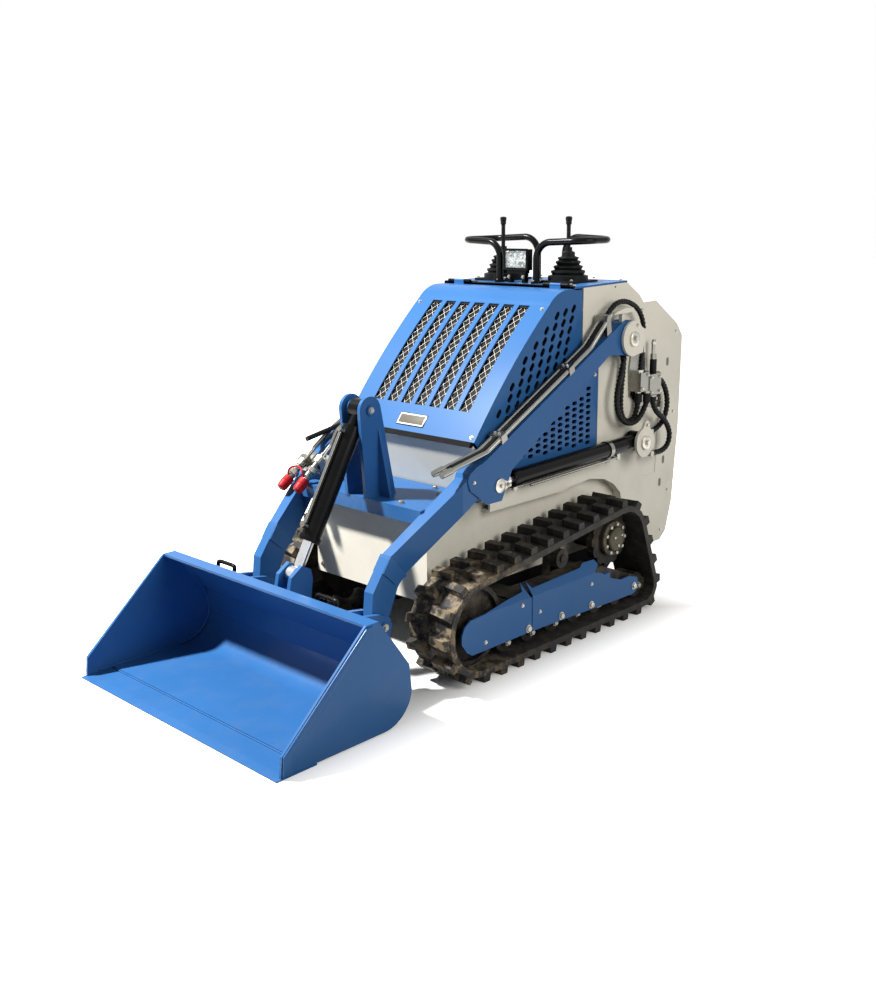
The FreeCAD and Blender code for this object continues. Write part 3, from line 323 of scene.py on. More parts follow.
def dress_frame():
    """The finish of every solid: its slot's own, but for the screen's plate and the lamp's case.
    The screen's plate is flat black, painted shade behind the wires.
    """
    slots = {row["node"]: row["material_slot"] for row in frame["record"]["subparts"]}
    for node, obj in frame["nodes"].items():
        # The screen's plate in flat black is painted shade behind the wires.
        finish = {"hood_screen": EXTRA["wire"], "work_lamp": BLACK_GLOSS}.get(
            node, FINISHES[slots[node]])
        for slot in obj.material_slots:
            slot.material = finish
        if not obj.material_slots:
            obj.data.materials.append(finish)


dress_frame()


# ---- making pieces ----
def add_piece(name, mesh, finish, body, sharp=40.0):
    """A finished mesh as a piece that rides on a body, if one is given.

    Edges sharper than the angle stay crisp.
    """
    mesh.name = name
    mesh.materials.clear()
    mesh.materials.append(finish)
    mesh.shade_smooth()
    mesh.set_sharp_from_angle(angle=math.radians(sharp))
    piece = bpy.data.objects.new(name, mesh)
    bpy.context.scene.collection.objects.link(piece)
    if body:
        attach(piece, body)
    return piece


def closed_mesh(work):
    """The bmesh as a mesh, doubles merged and faces pointing outwards."""
    bmesh.ops.remove_doubles(work, verts=work.verts, dist=1e-6)
    bmesh.ops.recalc_face_normals(work, faces=work.faces)
    mesh = bpy.data.meshes.new("piece")
    work.to_mesh(mesh)
    work.free()
    return mesh


def add_skin(work, rings, closed=False):
    """Faces between neighbouring rings of points, and from the last to the first if closed."""
    rows = [[work.verts.new(spot) for spot in ring] for ring in rings]
    count = len(rows[0])
    for first, second in zip(rows, rows[1:] + rows[:1] if closed else rows[1:]):
        for i in range(count):
            j = (i + 1) % count
            work.faces.new((first[i], first[j], second[j], second[i]))
    return rows


def add_rings(work, rings):
    """A closed skin through rings of points, capped at both ends."""
    rows = add_skin(work, rings)
    work.faces.new(rows[0][::-1])
    work.faces.new(rows[-1])


def turned_rings(start, along, profile, sides):
    """Rings about an axis: (distance, radius) pairs in millimetres from start."""
    axis = Vector(along).normalized()
    side = axis.orthogonal().normalized()
    other = axis.cross(side)
    turns = [2 * math.pi * i / sides for i in range(sides)]
    return [[start + axis * mm(distance) + (side * math.cos(a) + other * math.sin(a)) * mm(radius)
             for a in turns] for distance, radius in profile]


def add_turned(work, start, along, profile, sides):
    """A solid turned shape, its profile from start to end."""
    add_rings(work, turned_rings(start, along, profile, sides))


def add_sleeve(work, start, along, profile, sides=48):
    """A turned ring, its section's corners in turn."""
    add_skin(work, turned_rings(start, along, profile, sides), closed=True)


def add_slab(work, outline, x, y, z):
    """A flat plate from its outline's points, thick by the given step in millimetres."""
    step = Vector((x, y, z)) / 1000
    add_rings(work, [outline, [spot + step for spot in outline]])


def rounded(mesh, width):
    """The mesh with its edges rounded off."""
    work = bmesh.new()
    work.from_mesh(mesh)
    edges = [edge for edge in work.edges
             if len(edge.link_faces) == 2 and edge.calc_face_angle() > math.radians(30)]
    bmesh.ops.bevel(work, geom=edges, offset=mm(width), segments=2, affect="EDGES",
                    clamp_overlap=True, profile=0.6)
    out = bpy.data.meshes.new("piece")
    work.to_mesh(out)
    work.free()
    return out


def smooth_line(route, step):
    """Even steps along the smooth curve that the route's points control, in metres."""
    curve = bpy.data.curves.new("route", "CURVE")
    curve.dimensions = "3D"
    curve.resolution_u = 30
    spline = curve.splines.new("NURBS")
    spline.points.add(len(route) - 1)
    for point, spot in zip(spline.points, route):
        point.co = (spot.x, spot.y, spot.z, 1.0)
    spline.order_u = 3
    spline.use_endpoint_u = True
    holder = bpy.data.objects.new("route", curve)
    line = bpy.data.meshes.new_from_object(holder)
    spots = [vertex.co.copy() for vertex in line.vertices]
    bpy.data.objects.remove(holder)
    bpy.data.curves.remove(curve)
    bpy.data.meshes.remove(line)
    reach = [0.0]
    for first, second in zip(spots, spots[1:]):
        reach.append(reach[-1] + (second - first).length)
    count = max(2, round(reach[-1] / step))
    out, index = [], 0
    for i in range(count + 1):
        goal = reach[-1] * i / count
        while index < len(spots) - 2 and reach[index + 1] < goal:
            index += 1
        share = (goal - reach[index]) / max(reach[index + 1] - reach[index], 1e-9)
        out.append(spots[index].lerp(spots[index + 1], share))
    return out


def add_swept(work, line, radius_at, sides):
    """A round skin along a line; radius_at(index, angle share) gives its radius in metres."""
    side = (line[1] - line[0]).orthogonal().normalized()
    rings = []
    for index, spot in enumerate(line):
        ahead = line[min(index + 1, len(line) - 1)] - line[max(index - 1, 0)]
        ahead.normalize()
        side = (side - ahead * side.dot(ahead)).normalized()
        other = ahead.cross(side)
        ring = []
        for k in range(sides):
            angle = 2 * math.pi * k / sides
            radius = radius_at(index, k / sides)
            ring.append(spot + (side * math.cos(angle) + other * math.sin(angle)) * radius)
        rings.append(ring)
    add_rings(work, rings)


def add_cable(work, route, step, radius, sides, wave=0.0):
    """A round skin along a smooth route in millimetres, every second ring fuller by the wave."""
    line = smooth_line([place(*spot) for spot in route], mm(step))
    add_swept(work, line, lambda index, share: mm(radius + wave * (index % 2)), sides)


# ---- fasteners ----
def start_tree(name, inputs):
    """A geometry tree with the named inputs: its graph and a Term for each input."""
    tree = bpy.data.node_groups.new(name, "GeometryNodeTree")
    for label, kind in inputs:
        tree.interface.new_socket(label, in_out="INPUT", socket_type="NodeSocket" + kind)
    tree.interface.new_socket("Geometry", in_out="OUTPUT", socket_type="NodeSocketGeometry")
    graph = Graph(tree)
    return graph, graph.outs("NodeGroupInput", [label for label, kind in inputs])


def end_tree(graph, made, finish):
    """The tree, ended by real geometry in its finish."""
    real = graph.node("GeometryNodeRealizeInstances", inputs={"Geometry": made})
    done = graph.node("GeometryNodeSetMaterial", inputs={"Geometry": real, "Material": finish})
    graph.tree.links.new(done.socket, graph.tree.nodes.new("NodeGroupOutput").inputs[0])
    return graph.tree


def fastener_tree():
    """Geometry nodes: a washer and a six-sided head on every point, turned to its aim."""
    graph, (points, across, height, washer, seed, finish) = start_tree(
        "bolt heads on points", (("Points", "Geometry"), ("Across Corners", "Float"),
                                 ("Head Height", "Float"), ("Washer", "Float"),
                                 ("Seed", "Int"), ("Finish", "Material")))

    def raised(kind, middle, sizes):
        """A round or six-sided part with its middle at a height."""
        part = graph.node(kind, inputs=sizes)
        lift = graph.node("ShaderNodeCombineXYZ", inputs={"Z": middle})
        return graph.node("GeometryNodeTransform", inputs={"Geometry": part, "Translation": lift})

    flat = height * 0.28
    disc = raised("GeometryNodeMeshCylinder", flat * 0.5,
                  {"Vertices": 18, "Radius": washer, "Depth": flat})
    head = raised("GeometryNodeMeshCylinder", flat + height * 0.4,
                  {"Vertices": 6, "Radius": across * 0.5, "Depth": height * 0.8})
    crown = raised("GeometryNodeMeshCone", flat + height * 0.8,
                   {"Vertices": 6, "Radius Top": across * 0.42, "Radius Bottom": across * 0.5,
                    "Depth": height * 0.2})
    bolt = graph.node("GeometryNodeJoinGeometry")
    for part in (crown, head, disc):
        graph.tree.links.new(part.socket, bolt.socket.node.inputs[0])
    aim = graph.node("GeometryNodeInputNamedAttribute", {"data_type": "FLOAT_VECTOR"},
                     {"Name": "aim"})
    turn = graph.node("FunctionNodeAlignRotationToVector", {"axis": "Z"}, {"Vector": aim})
    spin = graph.node("FunctionNodeRandomValue", {"data_type": "FLOAT"},
                      {"Min": 0.0, "Max": 1.047, "Seed": seed}, out=1)
    about = graph.node("FunctionNodeAxisAngleToRotation",
                       inputs={"Axis": (0.0, 0.0, 1.0), "Angle": spin})
    turn = graph.node("FunctionNodeRotateRotation", {"rotation_space": "LOCAL"},
                      {"Rotation": turn, "Rotate By": about})
    placed = graph.node("GeometryNodeInstanceOnPoints", inputs={
        "Points": points, "Instance": bolt, "Rotation": turn})
    return end_tree(graph, placed, finish)


def run_tree(tree, mesh, **values):
    """The mesh that a geometry tree makes of this one; values go in by the inputs' names."""
    holder = bpy.data.objects.new("holder", mesh)
    bpy.context.scene.collection.objects.link(holder)
    modifier = holder.modifiers.new("tree", "NODES")
    modifier.node_group = tree
    for item in tree.interface.items_tree:
        key = item.name.replace(" ", "_")
        if key in values:
            modifier[item.identifier] = values[key]
    view = bpy.context.evaluated_depsgraph_get()
    out = bpy.data.meshes.new_from_object(holder.evaluated_get(view))
    holder.modifiers.clear()
    bpy.data.objects.remove(holder)
    return out


BOLTS = fastener_tree()


def bolts(name, body, places, across, height, washer, seed=7, finish=ZINC):
    """Bolt heads at (x, y, z, aim) places in millimetres."""
    mesh = bpy.data.meshes.new("points")
    mesh.from_pydata([place(*row[:3]) for row in places], [], [])
    aims = mesh.attributes.new("aim", "FLOAT_VECTOR", "POINT")
    for slot, row in zip(aims.data, places):
        slot.vector = row[3]
    made = run_tree(BOLTS, mesh, Across_Corners=mm(across), Head_Height=mm(height),
                    Washer=mm(washer), Seed=seed, Finish=finish)
    return add_piece(name, made, finish, body, 25.0)


UP, FORWARD, BACK = (0.0, 0.0, 1.0), (0.0, -1.0, 0.0), (0.0, 1.0, 0.0)
SIDES = (("left", 1), ("right", -1))


def on_side(sign, rows, x):
    """(y, z) rows as places on one side's plane, aimed outwards."""
    return [(sign * x, y, z, (float(sign), 0.0, 0.0)) for y, z in rows]


def both_sides(rows, x):
    """(y, z) rows as places on the left and the mirrored right plane."""
    return on_side(1, rows, x) + on_side(-1, rows, x)


# ---- track guards, hubs and pins ----
COVER_OUT, ARM_OUT, PANEL_OUT = 470.0, 385.0, 316.0
ARM_PIVOT, CYL_PIN, ROD_PIN = (290.0, 1031.0), (387.0, 631.0), (-434.0, 608.0)
TILT_PIN = (-700, 857)
SPROCKET = (150.0, 310.0)
TRACK_MIDDLE = 399.0
ROLLER_AXLES = [(-470 + 127 * i, 86) for i in range(6)]
IDLER_AXLES = [(-626, 186), (291, 98)]
PIN_CAP_OUT = 405


def guard_bolts():
    """Bolts and screws of the guards before the rollers."""
    big = [(-384, 115), (-205, 113), (-31, 108), (235, 113)]
    small = [(-415, 205), (-323, 160), (-30, 186), (-600, 128)]
    bolts("guard_bolts", "chassis", both_sides(big, COVER_OUT), 21, 8, 14)
    bolts("guard_screws", "chassis", both_sides(small, COVER_OUT), 10, 4, 7, 3)


def ring_of(centre, radius, count, start=0.0):
    """Evenly spaced (y, z) points round a centre."""
    turns = [start + 2 * math.pi * i / count for i in range(count)]
    return [(centre[0] + radius * math.cos(a), centre[1] + radius * math.sin(a)) for a in turns]


def drive_hubs():
    """Olive hub plate on each drive motor, with its ring of bolts and filler plugs."""
    for side, sign in SIDES:
        work = bmesh.new()
        add_turned(work, place(sign * (TRACK_MIDDLE + 30), *SPROCKET), (sign, 0, 0),
                   [(0, 64), (4, 64), (6, 61), (6, 47)], 40)
        add_turned(work, place(sign * (TRACK_MIDDLE + 46), *SPROCKET), (sign, 0, 0),
                   [(0, 45), (5, 43), (9, 34), (11, 12)], 32)
        add_piece("drive_hub_" + side, closed_mesh(work), EXTRA["olive"], "chassis")
    bolts("hub_bolts", "chassis", both_sides(ring_of(SPROCKET, 55, 9), TRACK_MIDDLE + 36),
          15, 8, 8, finish=DULL_ZINC)
    bolts("hub_plugs", "chassis", both_sides(ring_of(SPROCKET, 24, 3, 0.6), TRACK_MIDDLE + 54),
          11, 4, 6, finish=DULL_ZINC)
    bolts("roller_bolts", "chassis", both_sides(ROLLER_AXLES + IDLER_AXLES, TRACK_MIDDLE + 53),
          19, 7, 12, finish=DULL_ZINC)


def pin_caps():
    """Cap, washer and bolt on each pin of the arms and lift cylinders."""
    y, z = ROD_PIN
    tail = [(y + 8, z + 20), (y + 40, z + 8), (y + 44, z - 2), (y + 36, z - 10), (y + 4, z - 22)]
    for side, sign in SIDES:
        for name, centre in (("arm_pin_cap", ARM_PIVOT), ("cylinder_pin_cap", CYL_PIN)):
            work = bmesh.new()
            add_turned(work, place(sign * PIN_CAP_OUT, *centre), (sign, 0, 0),
                       [(0, 27), (2, 27), (3.5, 25), (3.5, 15), (1.5, 13)], 32)
            add_piece(name + "_" + side, closed_mesh(work), ZINC, "chassis")
        work = bmesh.new()
        add_turned(work, place(sign * ARM_OUT, y, z), (sign, 0, 0),
                   [(0, 25), (5, 25), (6.5, 23), (6.5, 8)], 32)
        add_slab(work, [place(sign * (ARM_OUT + 0.2), *spot) for spot in tail], sign * 5, 0, 0)
        add_piece("rod_pin_cap_" + side, closed_mesh(work), ZINC, "arms")
    bolts("pin_bolts", "chassis", both_sides([ARM_PIVOT, CYL_PIN], PIN_CAP_OUT + 1.5),
          19, 8, 11)
    bolts("pin_lock_bolts", "chassis", both_sides([(396, 696), (312, 1078)], 399), 12, 6, 8)
    bolts("rod_pin_bolts", "arms", both_sides([ROD_PIN, (-396, 606)], 391), 13, 6, 8)
    bolts("arm_end_screws", "arms", both_sides([(-560, 640)], ARM_OUT), 9, 4, 6)


# ---- hood ----
HOOD_LINE = ((-485.0, 750.0), (-300.0, 975.0), (-100.0, 1172.0))


def arc_through(points):
    """Centre and radius of the circle through three (y, z) points."""
    (ax, ay), (bx, by), (cx, cy) = points
    d = 2 * (ax * (by - cy) + bx * (cy - ay) + cx * (ay - by))
    a2, b2, c2 = ax * ax + ay * ay, bx * bx + by * by, cx * cx + cy * cy
    y = (a2 * (by - cy) + b2 * (cy - ay) + c2 * (ay - by)) / d
    z = (a2 * (cx - bx) + b2 * (ax - cx) + c2 * (bx - ax)) / d
    return (y, z), math.hypot(ax - y, ay - z)


HOOD_CENTRE, HOOD_RADIUS = arc_through(HOOD_LINE)
HOOD_TURNS = [math.atan2(z - HOOD_CENTRE[1], y - HOOD_CENTRE[0]) for y, z in HOOD_LINE[::2]]


def on_hood(x, share, depth):
    """A point under the hood's slope: share 0 at its foot, 1 at its top; depth inwards."""
    turn = HOOD_TURNS[0] + (HOOD_TURNS[1] - HOOD_TURNS[0]) * share
    radius = HOOD_RADIUS - depth
    return place(x, HOOD_CENTRE[0] + radius * math.cos(turn),
                 HOOD_CENTRE[1] + radius * math.sin(turn))


def wire_tree():
    """Geometry nodes: every edge becomes a wire of a given radius."""
    graph, (edges, radius, finish) = start_tree(
        "wire on edges", (("Edges", "Geometry"), ("Radius", "Float"), ("Finish", "Material")))
    curve = graph.node("GeometryNodeMeshToCurve", inputs={"Mesh": edges})
    profile = graph.node("GeometryNodeCurvePrimitiveCircle", inputs={
        "Resolution": 4, "Radius": radius})
    wire = graph.node("GeometryNodeCurveToMesh", inputs={
        "Curve": curve, "Profile Curve": profile, "Fill Caps": True})
    return end_tree(graph, wire, finish)


def hood_screen():
    """Diamond wires behind the slots, before the dark plate, with their ends in a flat rim. The
    plate's flat black is painted shade, the dark inside of the hood seen between the wires.
    """
    across, along, half = 16, 28, 250.0
    wire_depth, front, rear = 7.4, 4.2, 11.5
    spots, edges = [], []
    for j in range(along + 1):
        for i in range(across + 1):
            x = -half + 2 * half * (i + 0.5 * (j % 2)) / (across + 0.5)
            spots.append(on_hood(x, 0.10 + 0.885 * j / along, wire_depth))
            if j:
                below = (j - 1) * (across + 1) + i
                here = j * (across + 1) + i
                edges.append((below, here))
                if j % 2 and i < across:
                    edges.append((below + 1, here))
                if j % 2 == 0 and i:
                    edges.append((below - 1, here))
    mesh = bpy.data.meshes.new("diamonds")
    mesh.from_pydata(spots, edges, [])
    made = run_tree(wire_tree(), mesh, Radius=mm(0.68), Finish=EXTRA["light_wire"])
    add_piece("screen_wires", made, EXTRA["light_wire"], "hood")
    work = bmesh.new()
    for side in (-1, 1):
        add_rings(work, [[on_hood(side * (half + dx), 0.08 + 0.915 * k / 12, depth)
                          for dx, depth in ((-9, front), (9, front), (9, rear), (-9, rear))]
                         for k in range(13)])
    for share in (0.085, 0.985):
        low, high = share - 0.012, share + 0.012
        add_rings(work, [[on_hood(x, end, depth) for end, depth in
                          ((low, front), (high, front), (high, rear), (low, rear))]
                         for x in (-half, half)])
    add_piece("screen_rim", closed_mesh(work), EXTRA["wire"], "hood")


def hood_trim():
    """Blank name plate with its frame, the black strip at the hood's foot, and screws."""
    for name, inset, rise, round_off, finish in (
            ("name_plate", 7.5, 3.3, 0.4, EXTRA["plate"]),
            ("name_plate_border", 2.5, 2.7, 0.4, EXTRA["light_wire"]),
            ("name_plate_frame", 0.0, 2.0, 0.6, BLACK_GLOSS)):
        low, high = 0.038 + inset * 0.0018, 0.122 - inset * 0.0018
        corners = ((inset - 66, low), (66 - inset, low), (66 - inset, high), (inset - 66, high))
        work = bmesh.new()
        add_rings(work, [[on_hood(x, share, depth) for x, share in corners]
                         for depth in (0.5, -rise)])
        add_piece(name, rounded(closed_mesh(work), round_off), finish, "hood")
    work = bmesh.new()
    add_rings(work, [[place(x, y, z) for y, z in
                      ((-500, 736), (-488, 732), (-476, 739), (-478, 749), (-493, 753))]
                     for x in (-308.0, 308.0)])
    add_piece("hood_foot_rubber", closed_mesh(work), EXTRA["wire"], "hood")
    places = []
    for x in (-296, 296):
        for share in (0.03, 0.965):
            spot = on_hood(x, share, 0)
            aim = tuple((spot - place(x, *HOOD_CENTRE)).normalized())
            places.append((x, spot.y * 1000 - ORIGIN_SHIFT, spot.z * 1000, aim))
    bolts("hood_screws", "hood", places, 10, 4, 7, 5)


# ---- deck and controls ----
def deck_z(y):
    """Height of the deck, which rises a little towards the rear."""
    return 1226.0 + (y - 38.0) * 0.025


LEVER_X, LEVER_Y = 158.0, 205
LAMP_Y = 95


def deck_trim():
    """Black edge strip before the deck, and the screws of hinges, boots, loops, lamp and deck."""
    work = bmesh.new()
    add_rings(work, [[place(x, y, z) for y, z in
                      ((40.0, 1217.5), (47, 1217.5), (47, 1229.5), (40.0, 1228.0))]
                     for x in (-315.5, 315.5)])
    add_piece("deck_front_strip", closed_mesh(work), FINISHES["black_rubber"], "chassis")
    boots = [(x + dx, LEVER_Y + dy, deck_z(LEVER_Y + dy) + 12 - 0.6, UP)
             for x in (-LEVER_X, LEVER_X) for dx in (-68, 68) for dy in (-68, 68)]
    hinges = [(x, 68, deck_z(68) + 4.6, UP) for x in (-279, -233, -187, 187, 233, 279)]
    feet = [(*spot, deck_z(y) + 9, UP) for side in (-1, 1)
            for x, y in ((side * 88, 106), (side * 66, 304))
            for spot in ring_of((x, y), 15.5, 3, 0.5)]
    lamp = [(-34, 106, deck_z(106) + 48, UP)]
    lamp += [(x, LAMP_Y + 0.5, deck_z(LAMP_Y) + 22, FORWARD) for x in (-34, 34)]
    deck = [(x, y, deck_z(y), UP) for x in (-300, 300) for y in (60, 340)]
    for name, rows, across, height, washer, seed in (
            ("boot_screws", boots, 9, 3.5, 7, 7), ("hinge_screws", hinges, 9, 3.5, 7, 11),
            ("loop_foot_screws", feet, 6, 3, 3.6, 2), ("lamp_screws", lamp, 11, 5, 7, 4),
            ("deck_screws", deck, 11, 4.5, 8, 6)):
        bolts(name, "chassis", rows, across, height, washer, seed)


def lever_heads():
    """Moulded grips on the two levers, each with a groove under its head."""
    for side, sign in SIDES:
        work = bmesh.new()
        base = place(sign * LEVER_X, LEVER_Y, deck_z(LEVER_Y) + 206)
        add_turned(work, base, (0, 0, 1), [(0, 8.4), (4, 10.6), (10, 10.9), (12, 9.8), (14, 11.2),
                                           (22, 12.4), (27, 12), (29.5, 9), (30.5, 3)], 24)
        add_piece("lever_head_" + side, closed_mesh(work), FINISHES["black_rubber"], "chassis")


def lamp_lens():
    """Reflector and clear lens of the work lamp in their raised rim."""
    z = deck_z(LAMP_Y)
    inner = [(-48.5, 55.5), (48.5, 55.5), (48.5, 116.5), (-48.5, 116.5)]
    for name, y, depth, finish in (("lamp_lens", 92.2, 1.2, EXTRA["lens"]),
                                   ("lamp_reflector", 94.2, 2.2, FINISHES["lamp_glass"])):
        work = bmesh.new()
        add_slab(work, [place(x, y, z + h) for x, h in inner], 0, depth, 0)
        add_piece(name, closed_mesh(work), finish, "chassis")
    work = bmesh.new()
    outer = [(-57, 47), (57, 47), (57, 125), (-57, 125)]
    add_skin(work, [[place(x, y, z + h) for x, h in ring] for ring, y in
                    ((outer, 96), (outer, 91), (inner, 91), (inner, 96))], closed=True)
    add_piece("lamp_rim", rounded(closed_mesh(work), 1.4), BLACK_GLOSS, "chassis")


# ---- hoses and fittings ----
HOSE_STEP, GUARD_PITCH = 2.4, 15.0


def hose(name, x, route, radius, body=None):
    """A hose along its route; the guard is a spiral band with a groove between its turns."""
    line = smooth_line([place(x, y, z) for y, z in route], mm(HOSE_STEP))

    def radius_at(index, share):
        phase = (index / (GUARD_PITCH / HOSE_STEP) + share) % 1.0
        return mm(radius - 2.6 if phase < 0.2 else radius - 0.4 + 1.3 * math.sin(
            math.pi * (phase - 0.2) / 0.8))

    work = bmesh.new()
    add_swept(work, line, radius_at, 14)
    return add_piece(name, closed_mesh(work), EXTRA["guard"], body, 60.0)


OVER_ROUTE = [(178.3, 1122.0), (207, 1148), (250, 1166), (310, 1162), (372, 1134), (408, 1087),
              (414, 1030), (405, 965), (400, 896)]
OUTER_ROUTE = [(283, 949), (262, 888), (242, 827), (249, 765), (288, 719), (352, 702), (409, 726),
               (440, 776)]
INNER_ROUTE = [(318, 949), (312, 890), (304, 830), (303, 775), (312, 735), (341, 709), (379, 709),
               (408, 733), (418, 776)]
REAR_ROUTE = [(519, 866), (560, 850), (600, 803), (616, 745), (598, 694), (560, 660), (511, 649)]
LOW_ROUTE = [(468, 776), (480, 748), (510, 722), (546, 700), (578, 668), (596, 636), (594, 606),
             (576, 582), (545, 571), (511, 569), (477, 572)]


def all_hoses():
    """Hoses over the arms and loops that start inside them, on no body, and those that stay on the
    chassis.
    """
    inside_arm = [(289.0, 1015.0), (287.0, 990.0)]
    for side, sign in SIDES:
        for name, x, start, route, radius in (("over_hose", 357, [], OVER_ROUTE, 9.0),
                                              ("outer_loop", 363, inside_arm, OUTER_ROUTE, 10.0),
                                              ("inner_loop", 339, inside_arm, INNER_ROUTE, 10.0)):
            piece = hose(name + "_" + side, sign * x, start + route, radius)
            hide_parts("boom_hoses")
            place(sign * x, *route[0])
            place(sign * x, *route[-1])
            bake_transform(piece)
        for name, x, route in (("rear_hose", 344, REAR_ROUTE), ("low_hose", 371, LOW_ROUTE)):
            piece = hose(name + "_" + side, sign * x, route, 10.0, "chassis")
            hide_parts("body_hoses")


def fitting_trim():
    """Nuts, sleeves and screws on the hose blocks and the clamps of the arm's tubes."""
    up, rearwards = (0, 0, 1), (0, 1, 0)
    for side, sign in SIDES:
        sleeves = [((x, y, 774), up, [(0, 13), (0.8, 15), (reach - 3, 15), (reach, 14.2)])
                   for x, y, reach in ((363, 440, 36), (339, 418, 36), (371, 468, 20))]
        sleeves += [((350, 496, 880), up, [(0, 13.4), (50, 13.4), (53, 12.4)]),
                    ((344, 517, 866), rearwards, [(0, 13.6), (1, 14.6), (26, 14.2), (29, 12)])]
        nuts = [((350, 496, 938), up, [(0, 10.5), (12, 10.5), (13, 8.6), (50, 8.6), (51, 10.2),
                                       (60, 10.2), (62, 9)]),
                ((357, 400, 890), up, [(0, 12.6), (11, 12.6), (12, 11)]),
                ((344, 512, 866), rearwards, [(0, 15), (6, 15), (7, 13)])]
        for name, rows, sides, finish, sharp in (
                ("hose_sleeves_", sleeves, 20, FINISHES["black_rubber"], 40.0),
                ("hose_nuts_", nuts, 6, ZINC, 25.0)):
            work = bmesh.new()
            for (x, y, z), along, profile in rows:
                add_turned(work, place(sign * x, y, z), along, profile, sides)
            add_piece(name + side, closed_mesh(work), finish, "chassis", sharp)
    block = []
    for sign in (1, -1):
        block += on_side(sign, [(450, 868), (505, 868), (450, 812), (505, 812)], 376)
        block += on_side(sign, [(395, 832), (430, 880)], 372)
    bolts("block_screws", "chassis", block, 11, 5, 7, 9)
    bolts("bracket_screws", "chassis",
          both_sides([(424, 1020), (462, 1020), (560, 770), (540, 812)], PANEL_OUT + 8),
          12, 5, 8, 8)
    clamps = []
    for y in (-416.0, -60.0):
        rise = 1056.0 + 0.5258 * (y - 169.0) + 28.6
        for x in (348.0, 366.0):
            clamps += [(s * x, y, rise, (0.0, -0.4654, 0.885)) for s in (1, -1)]
    bolts("clamp_screws", "arms", clamps, 9, 5, 6.5, 10)


def coupler_caps():
    """Red dust caps on the quick couplers, their collars, and the strap that ties them."""
    ends = ((262.0, (-643.0, 655.0), (-771.0, 545.0)), (340.0, (-659.0, 635.0), (-780.0, 546.0)))
    caps, collars = bmesh.new(), bmesh.new()
    for x, top, end in ends:
        a, b = place(-x, *top), place(-x, *end)
        along = (b - a).normalized()
        length = (b - a).length * 1000
        add_turned(caps, a + along * mm(length - 52), along,
                   [(0, 15.5), (1, 19), (20, 19.6), (22, 18), (24, 19.6), (40, 19), (50, 16.5),
                    (54, 9)], 26)
        add_turned(collars, a + along * mm(66), along,
                   [(0, 17.4), (3, 19), (6, 17.6), (9, 19), (12, 17.6), (15, 19), (18, 17.4)], 26)
        add_turned(collars, a + along * mm(12), along,
                   [(0, 13), (0.5, 17.5), (27, 17.5), (28, 13)], 6)
    add_piece("coupler_caps", closed_mesh(caps), EXTRA["red"], "arms")
    add_piece("coupler_collars", closed_mesh(collars), ZINC, "arms")
    strap = bmesh.new()
    add_cable(strap, [(-262, -735, 577), (-262, -742, 604), (-274, -736, 618), (-300, -728, 622),
                      (-326, -736, 620), (-340, -744, 606), (-340, -745, 590)], 4, 3.6, 10)
    add_piece("cap_strap", closed_mesh(strap), EXTRA["red"], "arms")


# ---- arms, bucket and platform ----
def arm_trim():
    """Bolts of the crossmember, weld beads of the bracket and the tilt pin's locks."""
    rows = [(x, y, 563, UP) for x, y in ((190, -520), (235, -560), (-190, -520), (-235, -560),
                                         (180, -690), (-180, -690), (120, -470), (-120, -470))]
    bolts("crossmember_bolts", "arms", rows, 17, 7, 11, finish=DULL_ZINC)
    bolts("tilt_pin_bolts", "arms", both_sides([TILT_PIN], 58), 17, 6, 11, 12, DULL_ZINC)
    bolts("bucket_pin_bolts", "bucket", both_sides([(-914, 231)], 333), 17, 6, 12, 13, DULL_ZINC)
    weld = bmesh.new()
    for x in (-52.8, -38.2, 38.2, 52.8):
        add_cable(weld, [(x, y, 564.2) for y in (-727, -680, -640, -596)], 4, 3.0, 8, 0.5)
    for x in (304.5, -304.5):
        add_cable(weld, [(x, y, 564) for y in (-720, -690, -660, -630)], 4, 2.6, 8, 0.5)
    add_piece("bracket_welds", closed_mesh(weld), BLUE, "arms", 60.0)


def bucket_trim():
    """Side cutters along the cheeks, weld beads inside, and the carrying hooks at the back."""
    work = bmesh.new()
    for sign in (1, -1):
        outline = [place(sign * 520.0, y, z) for y, z in
                   ((-1482, 8), (-1476, 66), (-1166, 346), (-1136, 346), (-1444, 60), (-1448, 8))]
        add_slab(work, outline, sign * 6, 0, 0)
    add_piece("side_cutters", rounded(closed_mesh(work), 0.8), BLUE, "bucket")
    weld = bmesh.new()
    for x in (511.0, -511.0):
        add_cable(weld, [(x, y, z) for y, z in
                         ((-1440, 12.4), (-1250, 12), (-1110, 12), (-1042, 32), (-998, 84),
                          (-994, 120), (-1003, 186), (-1060, 262), (-1116, 340))], 5, 3.2, 8, 0.5)
    add_cable(weld, [(x, -1392, 6.5) for x in (-505, -170, 170, 505)], 6, 2.6, 8, 0.5)
    add_piece("bucket_welds", closed_mesh(weld), BLUE, "bucket", 60.0)
    hooks = bmesh.new()
    for x in (-258.0, 258.0):
        add_cable(hooks, [(x + dx, y, z) for dx, y, z in
                          ((-46, -1089, 318), (-46, -1084, 350), (-42, -1083, 356),
                           (0, -1083, 356), (42, -1083, 356), (46, -1084, 350),
                           (46, -1089, 318))], 3, 7.0, 14)
    add_piece("lashing_hooks", closed_mesh(hooks), BLACK_GLOSS, "bucket", 60.0)


def tube(low, high, inner, outer):
    """A tube's section: (distance, radius) corners."""
    return [(low, inner), (low, outer), (high, outer), (high, inner)]


